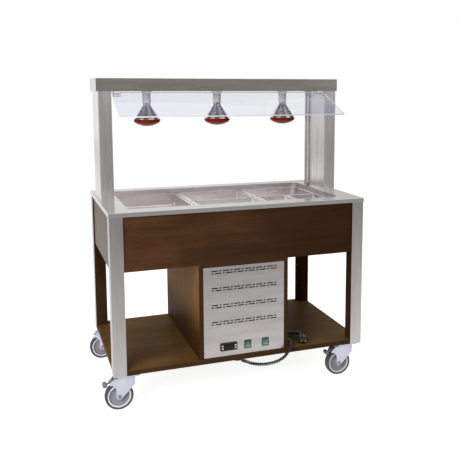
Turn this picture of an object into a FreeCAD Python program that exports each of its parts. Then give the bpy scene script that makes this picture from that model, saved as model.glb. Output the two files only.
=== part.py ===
import FreeCAD, Part
import math
import os

# Heated buffet display cart: wood-clad body on casters, steel worktop with a sunk well of food pans,
# control cabinet below, and a gantry above with three infrared lamps and a sloping glass guard.
# Millimetres. Origin on the floor under the middle of the cart, front towards -Y, +Z up.

# Whole cart
WIDTH = 1200.0
DEPTH = 700.0
CASTER_HEIGHT = 160.0  # floor to the underside of the legs and shelf
BODY_HEIGHT = 720.0  # underside of the legs to the worktop
GANTRY_HEIGHT = 565.0  # worktop to the top of the beam

# Worktop and sheet metal
SHEET = 1.5
LIP = 20.0
EDGE_ROUND = 1.2
MARGIN = 1.0  # how far a cut starts past a face, and how near an edge counts as on it

# Corner legs, aprons and shelf
POST = 56.0
ANGLE_THICKNESS = 1.5
LEG_INSET = 2.0
APRON_DROP = 260.0  # worktop to the lower edge of the aprons
APRON_THICKNESS = 18.0
APRON_INSET = 8.0
SHELF_THICKNESS = 22.0
SHELF_INSET = 6.0

# Well and food pans
PAN_WIDTH = 325.0  # a full pan, along X
PAN_DEPTH = 530.0  # a full pan, along Y
PAN_HEIGHT = 65.0
PAN_SHEET = 1.0
PAN_RIM = 12.0
PAN_RIM_HEIGHT = 2.0
PAN_TAPER = 4.0
PAN_CORNER = 16.0
PAN_PLAY = 0.8  # between the rims of pans that stand side by side
WELL_PLAY = 4.0  # between the rims and the wall of the well
WELL_STEP = 25.0  # worktop to the ledge that carries the rims
WELL_DROP = 160.0  # worktop to the floor of the tank
WELL_CORNER = 26.0
LEDGE = 11.0
TANK_FLANGE = 12.0
DIVIDER_GAP = 14.0
DIVIDER_SHEET = 2.0
RIDGE_WIDTH = 10.0
RIDGE_HEIGHT = 4.0
ELEMENT_DIAMETER = 8.5
ELEMENT_LOOPS = 4
ELEMENT_MARGIN = 30.0  # between the bends and the walls of the tank
ELEMENT_END = 25.0
PROBE_DIAMETER = 6.0
PROBE_LENGTH = 70.0
CLEARANCE = 0.3

# Control cabinet
CABINET_WIDTH = 426.0
CABINET_BOARD = 19.0
CABINET_TOP = 12.0
CABINET_INSET = 10.0  # worktop edge to the front edges of the cabinet
PANEL_LIFT = 4.0
PANEL_HEADROOM = 2.0
PANEL_PLAY = 0.5
PANEL_RETURN = 18.0
VENT_ROWS = 4
VENT_PITCH = 79.0
VENT_TOP = 18.0
VENT_LINE = 11.0
VENT_PERIOD = 53.0
VENT_PERIODS = 6
VENT_LONG = 30.0
VENT_SHORT = 10.0
VENT_SLOT = 5.0
CONTACTOR = (90.0, 60.0, 38.0)
CONTACTOR_CROWN = (30.0, 37.0)
CONTACTOR_POLES = 4
TERMINAL = (9.0, 7.5)

# Thermostat and switches, placed from the panel's lower left corner
THERMOSTAT = (80.0, 36.0)
THERMOSTAT_AT = (116.0, 44.0)
THERMOSTAT_PROUD = 7.0
THERMOSTAT_DEEP = 45.0
THERMOSTAT_FRAME = 3.5
DISPLAY = (40.0, 20.0)
DISPLAY_SUNK = 1.5
BUTTON = (8.0, 6.5)
BUTTON_PROUD = 1.2
BUTTON_DEEP = 5.0
BUTTON_TRAVEL = 1.0
BUTTON_OFFSET = (30.5, 6.2)
SWITCH = (34.0, 40.0)
SWITCH_AT = ((208.0, 44.0), (294.0, 44.0))
SWITCH_PROUD = 3.0
SWITCH_RIM = 3.0
SWITCH_WALL = 1.6
SWITCH_DEEP = 16.0
ROCKER_PLAY = 0.5
ROCKER_PROUD = 4.5
ROCKER_DISH = 1.8
ROCKER_BACK = 5.0
ROCKER_PIVOT = 3.0
ROCKER_TILT = 7.0
ROCKER_SWING = 1.6

# Gantry
BEAM_HEIGHT = 60.0
BEAM_FRONT = 305.0  # worktop's front edge to the front of the beam and posts
BEAM_DEPTH = 252.0
BEAM_ROUND = 3.0
GANTRY_POST = (60.0, 225.0)
GANTRY_INSET = 8.0
GANTRY_WALL = 2.0
CONDUIT_DIAMETER = 14.0
CONDUIT_WALL = 1.5
COLLAR = (20.0, 9.0)
CONDUIT_FROM_BACK = 15.0

# Lamps
LAMP_PITCH = 350.0
SOCKET_FLANGE = (50.0, 7.0)
SOCKET_SLANT = 7.0
SOCKET_BODY = (40.0, 55.0)
SOCKET_BORE = (29.0, 38.0)
BULB_CAP = (27.0, 27.0)
BULB_NECK = 37.0
BULB_DIAMETER = 126.0
BULB_COLLAR = 8.0  # straight neck below the socket
BULB_CONE = 70.0  # neck to the widest rim
BULB_FLARE = 9.0  # radius where the neck opens into the cone
BULB_BELLY = 9.0  # radius where the cone turns into the rim
BULB_BAND = 6.0
BULB_DOME = 34.0  # rim to the lowest point of the front
BULB_EDGE = 14.0
BULB_WALL = 1.6

# Glass guard
GLASS_LENGTH = 1060.0
GLASS_THICKNESS = 6.0
GLASS_TOP = 16.0  # behind the beam's front face
GLASS_HANG = 8.0  # beam bottom to the glass's upper edge
GLASS_REACH = 240.0
GLASS_DROP = 104.0
CLAMP = (30.0, 34.0, 26.0)
CLAMP_GRIP = 14.0
CLAMP_FROM_END = 25.0
CLAMPS = 2

# Casters
CASTER_INSET = (68.0, 44.0)
CASTER_PLATE = (100.0, 84.0, 4.0)
CASTER_PLATE_CORNER = 10.0
CASTER_TRAIL = 40.0
CUP = (50.0, 9.0)
KING_PIN = 14.0
KING_HEAD = (24.0, 4.5)
CROWN_THICKNESS = 4.0
FORK_SHEET = 3.0
FORK_GAP = 38.0
FORK_NOSE = 4.0  # crown ahead of the bearing cup
FORK_SHOULDER = 8.0  # crown's rear end ahead of the pedal pin
FORK_TAIL = 14.0  # cheeks behind the pedal pin
FORK_HEEL = (10.0, 4.0)  # lower and upper ends of the tail, below the pedal pin
FORK_ARMPIT = 31.0  # height above the axle where the cheek leaves the boss
FORK_HOLLOW = (5.0, 6.0)  # how far the rear edge is drawn in
WHEEL_DIAMETER = 125.0
WHEEL_WIDTH = 32.0
CORE_DIAMETER = 103.0
CORE_WIDTH = 29.0
HUB_DIAMETER = 26.0
HUB_PLAY = 0.5
HUB_FOOT = (2.0, 3.0)
WEB = 8.0
RIM_RING = 7.0
RIM_SLANT = 4.0
TYRE_BEAD = (2.0, 1.0)
TYRE_SHOULDER = 3.6
TYRE_CROWN = (1.0, 8.0)
AXLE = 10.0
AXLE_HEAD = (17.0, 5.0)
AXLE_BOSS = 13.0
RUNNING = 0.08  # radial clearance of turning fits
PEDAL_PIN = 6.0
PEDAL_HUB = (11.0, 30.0)
PEDAL_ROD = 9.0
PEDAL_KNOB = (20.0, 32.0)
PEDAL_KNOB_ROUND = 3.0
PEDAL_AT = (-68.0, 129.0)  # pedal pin from the swivel axis, and above the floor
PEDAL_KNOB_AT = (-101.0, 118.0)

# Mains cord
CURL_DIAMETER = 17.0
WIRE_DIAMETER = 6.0
CURL_PITCH = 8.3
CURL_LEAD = 12.0
ROUTE_ARC = 0.45  # share of the shorter run that each bend of the route takes up
CURL_STEPS = 64  # points that each curl is measured on
GAP_REACH = 2.5  # diameters along the wire, past which two points count as different stretches
GLAND_DIAMETER = 24.0
GLAND_NOSE = 22.0
GLAND_FLANGE = (34.0, 4.0)
PLUG_DIAMETER = 38.0
PLUG_LENGTH = 34.0
PLUG_NECK = (11.0, 23.0, 22.0)  # both diameters and the length
PLUG_ROUND = 5.0
PLUG_PIN = (4.8, 19.0, 19.0)
CORD_ROUTE = [
    (-14.0, -306.0, 145.0),
    (6.0, -334.0, 145.0),
    (34.0, -358.0, 137.0),
    (76.0, -369.0, 131.0),
    (122.0, -371.5, 131.5),
    (160.0, -371.5, 139.5),
    (187.0, -371.0, 155.0),
    (206.0, -371.0, 179.0),
    (221.0, -358.0, 197.5),
    (230.0, -334.6, 207.5),
    (230.5, -307.6, 208.0),
    (231.0, -281.0, 200.0),
    (231.0, -253.0, 193.0),
    (233.0, -222.0, 191.3),
    (246.0, -196.0, 191.3),
    (270.0, -181.0, 191.3),
    (299.0, -184.0, 192.0),
    (319.0, -204.0, 195.5),
    (324.0, -234.0, 201.3),
    (316.0, -264.0, 201.3),
]

V = FreeCAD.Vector
os.makedirs("parts", exist_ok=True)

# Levels and planes that the pieces share
half_width = WIDTH / 2
half_depth = DEPTH / 2
leg_bottom = CASTER_HEIGHT
shelf_top = leg_bottom + SHELF_THICKNESS
worktop_top = CASTER_HEIGHT + BODY_HEIGHT
worktop_under = worktop_top - SHEET
apron_bottom = worktop_top - APRON_DROP
beam_top = worktop_top + GANTRY_HEIGHT
beam_bottom = beam_top - BEAM_HEIGHT
beam_front = BEAM_FRONT - half_depth
ledge_top = worktop_top - WELL_STEP
tank_floor = worktop_top - WELL_DROP
leg_outer_x = half_width - LEG_INSET
leg_outer_y = half_depth - LEG_INSET
leg_size = POST + ANGLE_THICKNESS


def block(x0, x1, y0, y1, z0, z1):
    return Part.makeBox(x1 - x0, y1 - y0, z1 - z0, V(x0, y0, z0))


def facing_block(x, z, sx, sz, y0, y1):
    """A block centred on (x, z) as seen from the front."""
    return block(x - sx / 2, x + sx / 2, y0, y1, z - sz / 2, z + sz / 2)


def rod(radius, start, end):
    axis = end - start
    return Part.makeCylinder(radius, axis.Length, start, axis)


def rounded_wire(cx, cy, sx, sy, radius, z):
    x0, x1, y0, y1 = cx - sx / 2, cx + sx / 2, cy - sy / 2, cy + sy / 2
    k = radius * (1 - math.sqrt(0.5))
    r = radius
    curves = [
        Part.LineSegment(V(x0 + r, y0, z), V(x1 - r, y0, z)),
        Part.Arc(V(x1 - r, y0, z), V(x1 - k, y0 + k, z), V(x1, y0 + r, z)),
        Part.LineSegment(V(x1, y0 + r, z), V(x1, y1 - r, z)),
        Part.Arc(V(x1, y1 - r, z), V(x1 - k, y1 - k, z), V(x1 - r, y1, z)),
        Part.LineSegment(V(x1 - r, y1, z), V(x0 + r, y1, z)),
        Part.Arc(V(x0 + r, y1, z), V(x0 + k, y1 - k, z), V(x0, y1 - r, z)),
        Part.LineSegment(V(x0, y1 - r, z), V(x0, y0 + r, z)),
        Part.Arc(V(x0, y0 + r, z), V(x0 + k, y0 + k, z), V(x0 + r, y0, z)),
    ]
    return Part.Wire([c.toShape() for c in curves])


def rounded_prism(cx, cy, sx, sy, radius, z0, z1):
    return Part.Face(rounded_wire(cx, cy, sx, sy, radius, z0)).extrude(V(0, 0, z1 - z0))


def revolved(points, x, y):
    """A solid of revolution about a vertical axis from (radius, height) points."""
    wire = Part.makePolygon([V(r, 0, z) for r, z in points + points[:1]])
    shape = Part.Face(wire).revolve(V(0, 0, 0), V(0, 0, 1), 360)
    shape.translate(V(x, y, 0))
    return shape


def export(name, *shapes):
    solids = [s for shape in shapes for s in shape.Solids]
    result = solids[0] if len(solids) == 1 else Part.makeCompound(solids)
    result.exportStep("parts/" + name + ".step")


def four_corners(shape):
    """The shape of the front left corner, mirrored to all four corners."""
    right = shape.mirror(V(0, 0, 0), V(1, 0, 0))
    return [shape, right, shape.mirror(V(0, 0, 0), V(0, 1, 0)), right.mirror(V(0, 0, 0), V(0, 1, 0))]


# Corner posts with their steel angles

def corner_leg():
    x0, y0 = -leg_outer_x, -leg_outer_y
    square = block(x0, x0 + leg_size, y0, y0 + leg_size, leg_bottom, worktop_under)
    post = block(
        x0 + ANGLE_THICKNESS, x0 + leg_size, y0 + ANGLE_THICKNESS, y0 + leg_size, leg_bottom, worktop_under
    )
    corner = [e for e in square.Edges if e.BoundBox.ZLength > MARGIN]
    corner = [e for e in corner if e.CenterOfMass.x < x0 + MARGIN and e.CenterOfMass.y < y0 + MARGIN]
    return post, square.makeFillet(EDGE_ROUND, corner).cut(post)


post, angle = corner_leg()
export("corner_posts", *four_corners(post))
export("corner_angles", *four_corners(angle))

# Apron panels between the posts
apron_x = leg_outer_x - leg_size
apron_y = leg_outer_y - leg_size
apron_front = -half_depth + APRON_INSET
apron_side = -half_width + APRON_INSET
front_apron = block(
    -apron_x, apron_x, apron_front, apron_front + APRON_THICKNESS, apron_bottom, worktop_under
)
left_apron = block(apron_side, apron_side + APRON_THICKNESS, -apron_y, apron_y, apron_bottom, worktop_under)
export("front_apron", front_apron)
export("back_apron", front_apron.mirror(V(0, 0, 0), V(0, 1, 0)))
export("side_aprons", left_apron, left_apron.mirror(V(0, 0, 0), V(1, 0, 0)))

# Bottom shelf, notched round the posts, with a hole for the cord gland
cord_points = [V(*p) for p in CORD_ROUTE]
gland_way = V(cord_points[1].x - cord_points[0].x, cord_points[1].y - cord_points[0].y, 0).normalize()
gland_mouth = cord_points[0]
gland_axis = gland_mouth - gland_way * GLAND_NOSE


def bottom_shelf():
    shelf_x, shelf_y = half_width - SHELF_INSET, half_depth - SHELF_INSET
    board = block(-shelf_x, shelf_x, -shelf_y, shelf_y, leg_bottom, shelf_top)
    long_edges = [e for e in board.Edges if e.BoundBox.ZLength < MARGIN]
    board = board.makeFillet(EDGE_ROUND, long_edges)
    notch = block(
        -half_width, -leg_outer_x + leg_size, -half_depth, -leg_outer_y + leg_size,
        leg_bottom - MARGIN, shelf_top + MARGIN,
    )
    hole = Part.makeCylinder(
        GLAND_DIAMETER / 2, SHELF_THICKNESS, V(gland_axis.x, gland_axis.y, leg_bottom), V(0, 0, 1)
    )
    return board.cut(four_corners(notch) + [hole])


export("bottom_shelf", bottom_shelf())

# Worktop sheet with folded lips and the opening of the well
well_x = 3 * PAN_WIDTH + 2 * DIVIDER_GAP + 2 * WELL_PLAY
well_y = PAN_DEPTH + 2 * WELL_PLAY
tank_x = well_x - 2 * LEDGE
tank_y = well_y - 2 * LEDGE


def worktop():
    slab = block(-half_width, half_width, -half_depth, half_depth, worktop_top - LIP, worktop_top)
    upper = [e for e in slab.Edges if e.CenterOfMass.z > worktop_top - LIP + MARGIN]
    slab = slab.makeFillet(EDGE_ROUND, upper)
    hollow = block(
        -half_width + SHEET, half_width - SHEET, -half_depth + SHEET, half_depth - SHEET,
        worktop_top - LIP - MARGIN, worktop_under,
    )
    opening = rounded_prism(
        0, 0, well_x, well_y, WELL_CORNER, worktop_under - MARGIN, worktop_top + MARGIN
    )
    return slab.cut([hollow, opening])


export("worktop", worktop())

# Well tank hung under the worktop, with a ledge for the pan rims
element_runs = 2 * ELEMENT_LOOPS
element_pitch = tank_x / element_runs
element_x = [(i - (element_runs - 1) / 2) * element_pitch for i in range(element_runs)]
element_y = tank_y / 2 - ELEMENT_MARGIN - element_pitch / 2
element_z = tank_floor + ELEMENT_DIAMETER / 2 + CLEARANCE


def well_tank():
    flange = rounded_prism(
        0, 0, well_x + 2 * TANK_FLANGE, well_y + 2 * TANK_FLANGE, WELL_CORNER + TANK_FLANGE,
        worktop_under - SHEET, worktop_under,
    )
    step = rounded_prism(
        0, 0, well_x + 2 * SHEET, well_y + 2 * SHEET, WELL_CORNER + SHEET, ledge_top - SHEET, worktop_under
    )
    bowl = rounded_prism(
        0, 0, tank_x + 2 * SHEET, tank_y + 2 * SHEET, WELL_CORNER + SHEET, tank_floor - SHEET, ledge_top
    )
    outer = flange.fuse([step, bowl])
    upper = rounded_prism(0, 0, well_x, well_y, WELL_CORNER, ledge_top, worktop_under)
    lower = rounded_prism(0, 0, tank_x, tank_y, WELL_CORNER, tank_floor, ledge_top)
    ends = [
        Part.makeCylinder(
            ELEMENT_DIAMETER / 2 + CLEARANCE, 3 * SHEET, V(x, -element_y, tank_floor - 2 * SHEET)
        )
        for x in (element_x[0], element_x[-1])
    ]
    return outer.cut([upper, lower] + ends).removeSplitter()


export("well_tank", well_tank())

# Divider bars between the three sections, and cross bars under the rims of the smaller pans
section_pitch = PAN_WIDTH + DIVIDER_GAP
flange_half = DIVIDER_GAP / 2 + LEDGE


def hat_bar(length, half):
    """A bar along Y: two flanges for the pan rims and a raised ridge between them."""
    top, crest = ledge_top, ledge_top + RIDGE_HEIGHT
    under, crest_under = top - DIVIDER_SHEET, crest - DIVIDER_SHEET
    ridge = RIDGE_WIDTH / 2
    inner = ridge - DIVIDER_SHEET
    right = [(inner, crest_under), (inner, under), (half, under), (half, top), (ridge, top), (ridge, crest)]
    outline = right + [(-x, z) for x, z in reversed(right)]
    wire = Part.makePolygon([V(x, -length / 2, z) for x, z in outline + outline[:1]])
    return Part.Face(wire).extrude(V(0, length, 0))


def divider_bars():
    bars = []
    for side in (-1, 1):
        bar = hat_bar(tank_y, flange_half)
        bar.translate(V(side * section_pitch / 2, 0, 0))
        bars.append(bar)
    under = ledge_top - DIVIDER_SHEET
    middle = section_pitch / 2 - flange_half
    right = section_pitch / 2 + flange_half
    quarter = section_pitch
    bars.append(block(-middle, middle, -LEDGE, LEDGE, under, ledge_top))
    bars.append(block(right, tank_x / 2, -LEDGE, LEDGE, under, ledge_top))
    bars.append(block(quarter - LEDGE, quarter + LEDGE, -tank_y / 2, -LEDGE, under, ledge_top))
    return bars


export("divider_bars", *divider_bars())


def food_pan(cx, cy, sx, sy):
    """A pan with a flat rim, tapered walls and rounded corners, hung by its rim on the ledge."""
    sx, sy = sx - PAN_PLAY, sy - PAN_PLAY
    mouth_x, mouth_y = sx - 2 * PAN_RIM, sy - 2 * PAN_RIM
    rim_top = ledge_top + PAN_RIM_HEIGHT
    floor = rim_top - PAN_HEIGHT

    def bowl(shrink, z0, z1):
        upper = rounded_wire(cx, cy, mouth_x - 2 * shrink, mouth_y - 2 * shrink, PAN_CORNER, z1)
        base_x = mouth_x - 2 * shrink - 2 * PAN_TAPER
        base_y = mouth_y - 2 * shrink - 2 * PAN_TAPER
        lower = rounded_wire(cx, cy, base_x, base_y, PAN_CORNER, z0)
        return Part.makeLoft([lower, upper], True, True)

    rim = rounded_prism(cx, cy, sx, sy, PAN_CORNER, ledge_top, rim_top)
    outside = rim.fuse(bowl(0, floor, rim_top))
    return outside.cut(bowl(PAN_SHEET, floor + PAN_SHEET, rim_top)).removeSplitter()


half_y = PAN_DEPTH / 4
quarter_x = PAN_WIDTH / 4
export("food_pan_full", food_pan(-section_pitch, 0, PAN_WIDTH, PAN_DEPTH))
export("food_pan_middle_front", food_pan(0, -half_y, PAN_WIDTH, PAN_DEPTH / 2))
export("food_pan_middle_back", food_pan(0, half_y, PAN_WIDTH, PAN_DEPTH / 2))
export("food_pan_right_back", food_pan(section_pitch, half_y, PAN_WIDTH, PAN_DEPTH / 2))
export("food_pan_quarter_left", food_pan(section_pitch - quarter_x, -half_y, PAN_WIDTH / 2, PAN_DEPTH / 2))
export("food_pan_quarter_right", food_pan(section_pitch + quarter_x, -half_y, PAN_WIDTH / 2, PAN_DEPTH / 2))


# Tubular heating element, a row of hairpins on the tank floor with its ends through the floor

def heating_element():
    path, ends = [], []
    for i, x in enumerate(element_x):
        way = 1 if i % 2 == 0 else -1
        start, end = V(x, -way * element_y, element_z), V(x, way * element_y, element_z)
        path.append(Part.LineSegment(start, end))
        if i == 0:
            ends.append(start)
        if i + 1 < element_runs:
            turn = V(x + element_pitch / 2, end.y + way * element_pitch / 2, element_z)
            path.append(Part.Arc(end, turn, V(x + element_pitch, end.y, element_z)))
        else:
            ends.append(end)
    ring = Part.Wire(Part.makeCircle(ELEMENT_DIAMETER / 2, ends[0], V(0, 1, 0)))
    pipe = Part.Wire([p.toShape() for p in path]).makePipeShell([ring], True, False)
    legs = []
    for end in ends:
        legs.append(Part.makeSphere(ELEMENT_DIAMETER / 2, end))
        legs.append(rod(ELEMENT_DIAMETER / 2, V(end.x, end.y, tank_floor - ELEMENT_END), end))
    return pipe.fuse(legs)


export("heating_element", heating_element())

# Temperature probe clipped under the tank floor
probe_z = tank_floor - SHEET - PROBE_DIAMETER / 2 - CLEARANCE
export(
    "temperature_probe",
    rod(PROBE_DIAMETER / 2, V(-PROBE_LENGTH / 2, 0, probe_z), V(PROBE_LENGTH / 2, 0, probe_z)),
)

# Control cabinet boards
cabinet_front = -half_depth + CABINET_INSET
cabinet_back = half_depth - CABINET_INSET
cabinet_inner = CABINET_WIDTH / 2 - CABINET_BOARD
cabinet_lid = apron_bottom - CABINET_TOP
left_board = block(-CABINET_WIDTH / 2, -cabinet_inner, cabinet_front, cabinet_back, shelf_top, apron_bottom)
export("cabinet_left_side", left_board)
export("cabinet_right_side", left_board.mirror(V(0, 0, 0), V(1, 0, 0)))
export(
    "cabinet_top",
    block(-cabinet_inner, cabinet_inner, cabinet_front, cabinet_back, cabinet_lid, apron_bottom),
)
export(
    "cabinet_back",
    block(-cabinet_inner, cabinet_inner, cabinet_back - CABINET_BOARD, cabinet_back, shelf_top, cabinet_lid),
)

# Stainless control panel with folded edges, vent slots and cut-outs for the controls
panel_half = cabinet_inner - PANEL_PLAY
panel_bottom = shelf_top + PANEL_LIFT
panel_top = cabinet_lid - PANEL_HEADROOM
panel_front = cabinet_front - SHEET
panel_through = (panel_front - MARGIN, panel_front + SHEET + MARGIN)
thermostat_x = -panel_half + THERMOSTAT_AT[0]
thermostat_z = panel_bottom + THERMOSTAT_AT[1]
thermostat_sleeve = (THERMOSTAT[0] - 2 * THERMOSTAT_FRAME, THERMOSTAT[1] - 2 * THERMOSTAT_FRAME)
switch_places = [(-panel_half + x, panel_bottom + z) for x, z in SWITCH_AT]
switch_sleeve = (SWITCH[0] - 2 * SWITCH_RIM, SWITCH[1] - 2 * SWITCH_RIM)


def vent_slots():
    """Rows of two lines each, long and short slots by turns, the lower line shifted by half a period."""
    slots = []
    span = VENT_PERIODS * VENT_PERIOD
    gap = (VENT_PERIOD - VENT_LONG - VENT_SHORT) / 2
    for row in range(VENT_ROWS):
        for line in range(2):
            z = panel_top - VENT_TOP - row * VENT_PITCH - line * VENT_LINE
            lengths = (VENT_LONG, VENT_SHORT) if line == 0 else (VENT_SHORT, VENT_LONG)
            x = -span / 2 + gap / 2
            for i in range(2 * VENT_PERIODS):
                length = lengths[i % 2]
                slots.append(facing_block(x + length / 2, z, length, VENT_SLOT, *panel_through))
                x += length + gap
    return slots


def control_panel():
    outer = block(-panel_half, panel_half, panel_front, panel_front + PANEL_RETURN, panel_bottom, panel_top)
    face_edges = [e for e in outer.Edges if e.BoundBox.YMax < panel_front + MARGIN]
    outer = outer.makeFillet(EDGE_ROUND, face_edges)
    hollow = block(
        -panel_half + SHEET, panel_half - SHEET, panel_front + SHEET,
        panel_front + PANEL_RETURN + MARGIN,
        panel_bottom + SHEET, panel_top - SHEET,
    )
    cuts = vent_slots()
    openings = [(thermostat_x, thermostat_z, thermostat_sleeve)]
    openings += [(x, z, switch_sleeve) for x, z in switch_places]
    for x, z, (sx, sz) in openings:
        play = 2 * CLEARANCE
        cuts.append(facing_block(x, z, sx + play, sz + play, *panel_through))
    return outer.cut([hollow] + cuts)


export("control_panel", control_panel())

# Thermostat with a sunk display and four push buttons
bezel_front = panel_front - THERMOSTAT_PROUD
button_places = [
    (thermostat_x + sx * BUTTON_OFFSET[0], thermostat_z + sz * BUTTON_OFFSET[1])
    for sx in (-1, 1)
    for sz in (1, -1)
]


def thermostat():
    bezel = facing_block(thermostat_x, thermostat_z, THERMOSTAT[0], THERMOSTAT[1], bezel_front, panel_front)
    face_edges = [e for e in bezel.Edges if e.BoundBox.YMin < bezel_front + MARGIN]
    bezel = bezel.makeFillet(2 * EDGE_ROUND, face_edges)
    sleeve = facing_block(
        thermostat_x, thermostat_z, *thermostat_sleeve, panel_front, panel_front + THERMOSTAT_DEEP
    )
    window = facing_block(
        thermostat_x, thermostat_z, *DISPLAY, bezel_front - MARGIN, bezel_front + DISPLAY_SUNK
    )
    wells = [
        facing_block(
            x, z, BUTTON[0] + 2 * CLEARANCE, BUTTON[1] + 2 * CLEARANCE, bezel_front - MARGIN,
            bezel_front + BUTTON_DEEP + BUTTON_TRAVEL,
        )
        for x, z in button_places
    ]
    return bezel.fuse(sleeve).cut([window] + wells)


export("thermostat", thermostat())
for name, (x, z) in zip(("upper_left", "lower_left", "upper_right", "lower_right"), button_places):
    button = facing_block(x, z, *BUTTON, bezel_front - BUTTON_PROUD, bezel_front + BUTTON_DEEP - CLEARANCE)
    button = button.makeFillet(EDGE_ROUND / 2, [e for e in button.Edges if e.BoundBox.YMax < bezel_front])
    export("thermostat_button_" + name, button)

# Rocker switches: frame with a sleeve through the panel, and a dished rocker on a cross pin
rocker_hole = (switch_sleeve[0] - 2 * SWITCH_WALL, switch_sleeve[1] - 2 * SWITCH_WALL)
rocker_y = panel_front + ROCKER_PIVOT


def switch_frame(x, z):
    rim = facing_block(x, z, *SWITCH, panel_front - SWITCH_PROUD, panel_front)
    rim = rim.makeFillet(2 * EDGE_ROUND, [e for e in rim.Edges if e.BoundBox.YMin < panel_front - MARGIN])
    sleeve = facing_block(x, z, *switch_sleeve, panel_front, panel_front + SWITCH_DEEP)
    hole = facing_block(
        x, z, *rocker_hole, panel_front - SWITCH_PROUD - MARGIN, panel_front + SWITCH_DEEP - SHEET
    )
    return rim.fuse(sleeve).cut(hole)


def rocker(x, z):
    half = rocker_hole[1] / 2 - ROCKER_SWING
    width = rocker_hole[0] - 2 * ROCKER_PLAY
    tip = panel_front - ROCKER_PROUD
    back = panel_front + ROCKER_BACK
    left = x - width / 2
    upper, lower = V(left, tip, z + half), V(left, tip, z - half)
    dish = Part.Arc(upper, V(left, tip + ROCKER_DISH, z), lower).toShape()
    corners = [lower, V(left, back, z - half), V(left, back, z + half), upper]
    sides = [Part.LineSegment(a, b).toShape() for a, b in zip(corners, corners[1:])]
    shape = Part.Face(Part.Wire([dish] + sides)).extrude(V(width, 0, 0))
    shape.rotate(V(x, rocker_y, z), V(1, 0, 0), ROCKER_TILT)
    return shape


export("switch_frames", *[switch_frame(x, z) for x, z in switch_places])
for name, (x, z) in zip(("left", "right"), switch_places):
    export("rocker_" + name, rocker(x, z))


# Contactor with a terminal strip, on the shelf inside the cabinet

def contactor():
    length, depth, height = CONTACTOR
    crown_depth, crown_height = CONTACTOR_CROWN
    deck = shelf_top + height
    body = block(-length / 2, length / 2, -depth / 2, depth / 2, shelf_top, deck)
    crown = block(-length / 2, length / 2, -crown_depth / 2, crown_depth / 2, deck, deck + crown_height)
    pitch = length / CONTACTOR_POLES
    row = (depth + crown_depth) / 4
    poles = [(i + 0.5) * pitch - length / 2 for i in range(CONTACTOR_POLES)]
    terminals = [
        Part.makeCylinder(TERMINAL[0] / 2, TERMINAL[1], V(x, y, deck - TERMINAL[1]))
        for x in poles
        for y in (-row, row)
    ]
    return body.fuse(crown).cut(terminals)


export("contactor", contactor())

# Gantry posts and beam, folded from sheet
post_x0 = half_width - GANTRY_INSET - GANTRY_POST[0]
post_mid_x = post_x0 + GANTRY_POST[0] / 2
post_mid_y = beam_front + GANTRY_POST[1] / 2
post_back = beam_front + GANTRY_POST[1]


def gantry_post():
    outer = rounded_prism(post_mid_x, post_mid_y, *GANTRY_POST, BEAM_ROUND, worktop_top, beam_bottom)
    inner = rounded_prism(
        post_mid_x, post_mid_y, GANTRY_POST[0] - 2 * GANTRY_WALL, GANTRY_POST[1] - 2 * GANTRY_WALL,
        BEAM_ROUND - GANTRY_WALL, worktop_top, beam_bottom,
    )
    return outer.cut(inner)


export("gantry_post_right", gantry_post())
export("gantry_post_left", gantry_post().mirror(V(0, 0, 0), V(1, 0, 0)))


def gantry_beam():
    back = beam_front + BEAM_DEPTH
    outer = block(-half_width, half_width, beam_front, back, beam_bottom, beam_top)
    upper = [e for e in outer.Edges if e.CenterOfMass.z > beam_bottom + MARGIN]
    outer = outer.makeFillet(BEAM_ROUND / 2, upper)
    inner = block(
        -half_width + GANTRY_WALL, half_width - GANTRY_WALL, beam_front + GANTRY_WALL, back - GANTRY_WALL,
        beam_bottom, beam_top - GANTRY_WALL,
    )
    return outer.cut(inner)


export("gantry_beam", gantry_beam())
export(
    "beam_bottom_plate",
    block(
        -half_width + GANTRY_WALL + CLEARANCE, half_width - GANTRY_WALL - CLEARANCE,
        beam_front + GANTRY_WALL + CLEARANCE, beam_front + BEAM_DEPTH - GANTRY_WALL - CLEARANCE,
        beam_bottom, beam_bottom + GANTRY_WALL,
    ),
)


# Slim conduit for the lamp cables beside the right post, with a collar at each end

def cable_conduit():
    x = post_x0 - COLLAR[0] / 2 - CLEARANCE
    y = post_back - CONDUIT_FROM_BACK
    tube = rod(CONDUIT_DIAMETER / 2, V(x, y, worktop_top), V(x, y, beam_bottom))
    collars = [
        rod(COLLAR[0] / 2, V(x, y, worktop_top), V(x, y, worktop_top + COLLAR[1])),
        rod(COLLAR[0] / 2, V(x, y, beam_bottom - COLLAR[1]), V(x, y, beam_bottom)),
    ]
    bore = rod(CONDUIT_DIAMETER / 2 - CONDUIT_WALL, V(x, y, worktop_top), V(x, y, beam_bottom))
    return tube.fuse(collars).cut(bore)


export("cable_conduit", cable_conduit())

# Infrared lamps: ceramic socket, silvered reflector with its screw cap, red domed front
lamp_y = beam_front + BEAM_DEPTH / 2
lamp_places = [(i * LAMP_PITCH, lamp_y) for i in (-1, 0, 1)]
socket_end = beam_bottom - SOCKET_BODY[1]
bulb_rim = socket_end - BULB_COLLAR - BULB_CONE


def lamp_socket(x, y):
    flange, body, bore = SOCKET_FLANGE[0] / 2, SOCKET_BODY[0] / 2, SOCKET_BORE[0] / 2
    waist = beam_bottom - SOCKET_FLANGE[1]
    return revolved(
        [
            (0, beam_bottom), (flange, beam_bottom), (flange, waist), (body, waist - SOCKET_SLANT),
            (body, socket_end), (bore, socket_end), (bore, socket_end + SOCKET_BORE[1]),
            (0, socket_end + SOCKET_BORE[1]),
        ],
        x, y,
    )


def turned(curves):
    """A solid of revolution about the lamp's axis from the curves of a closed outline."""
    wire = Part.Wire([c.toShape() for c in curves])
    return Part.Face(wire).revolve(V(0, 0, 0), V(0, 0, 1), 360)


def arc_points(centre_r, centre_z, radius, *degrees):
    angles = [math.radians(d) for d in degrees]
    return [V(centre_r + radius * math.cos(a), 0, centre_z + radius * math.sin(a)) for a in angles]


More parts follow.
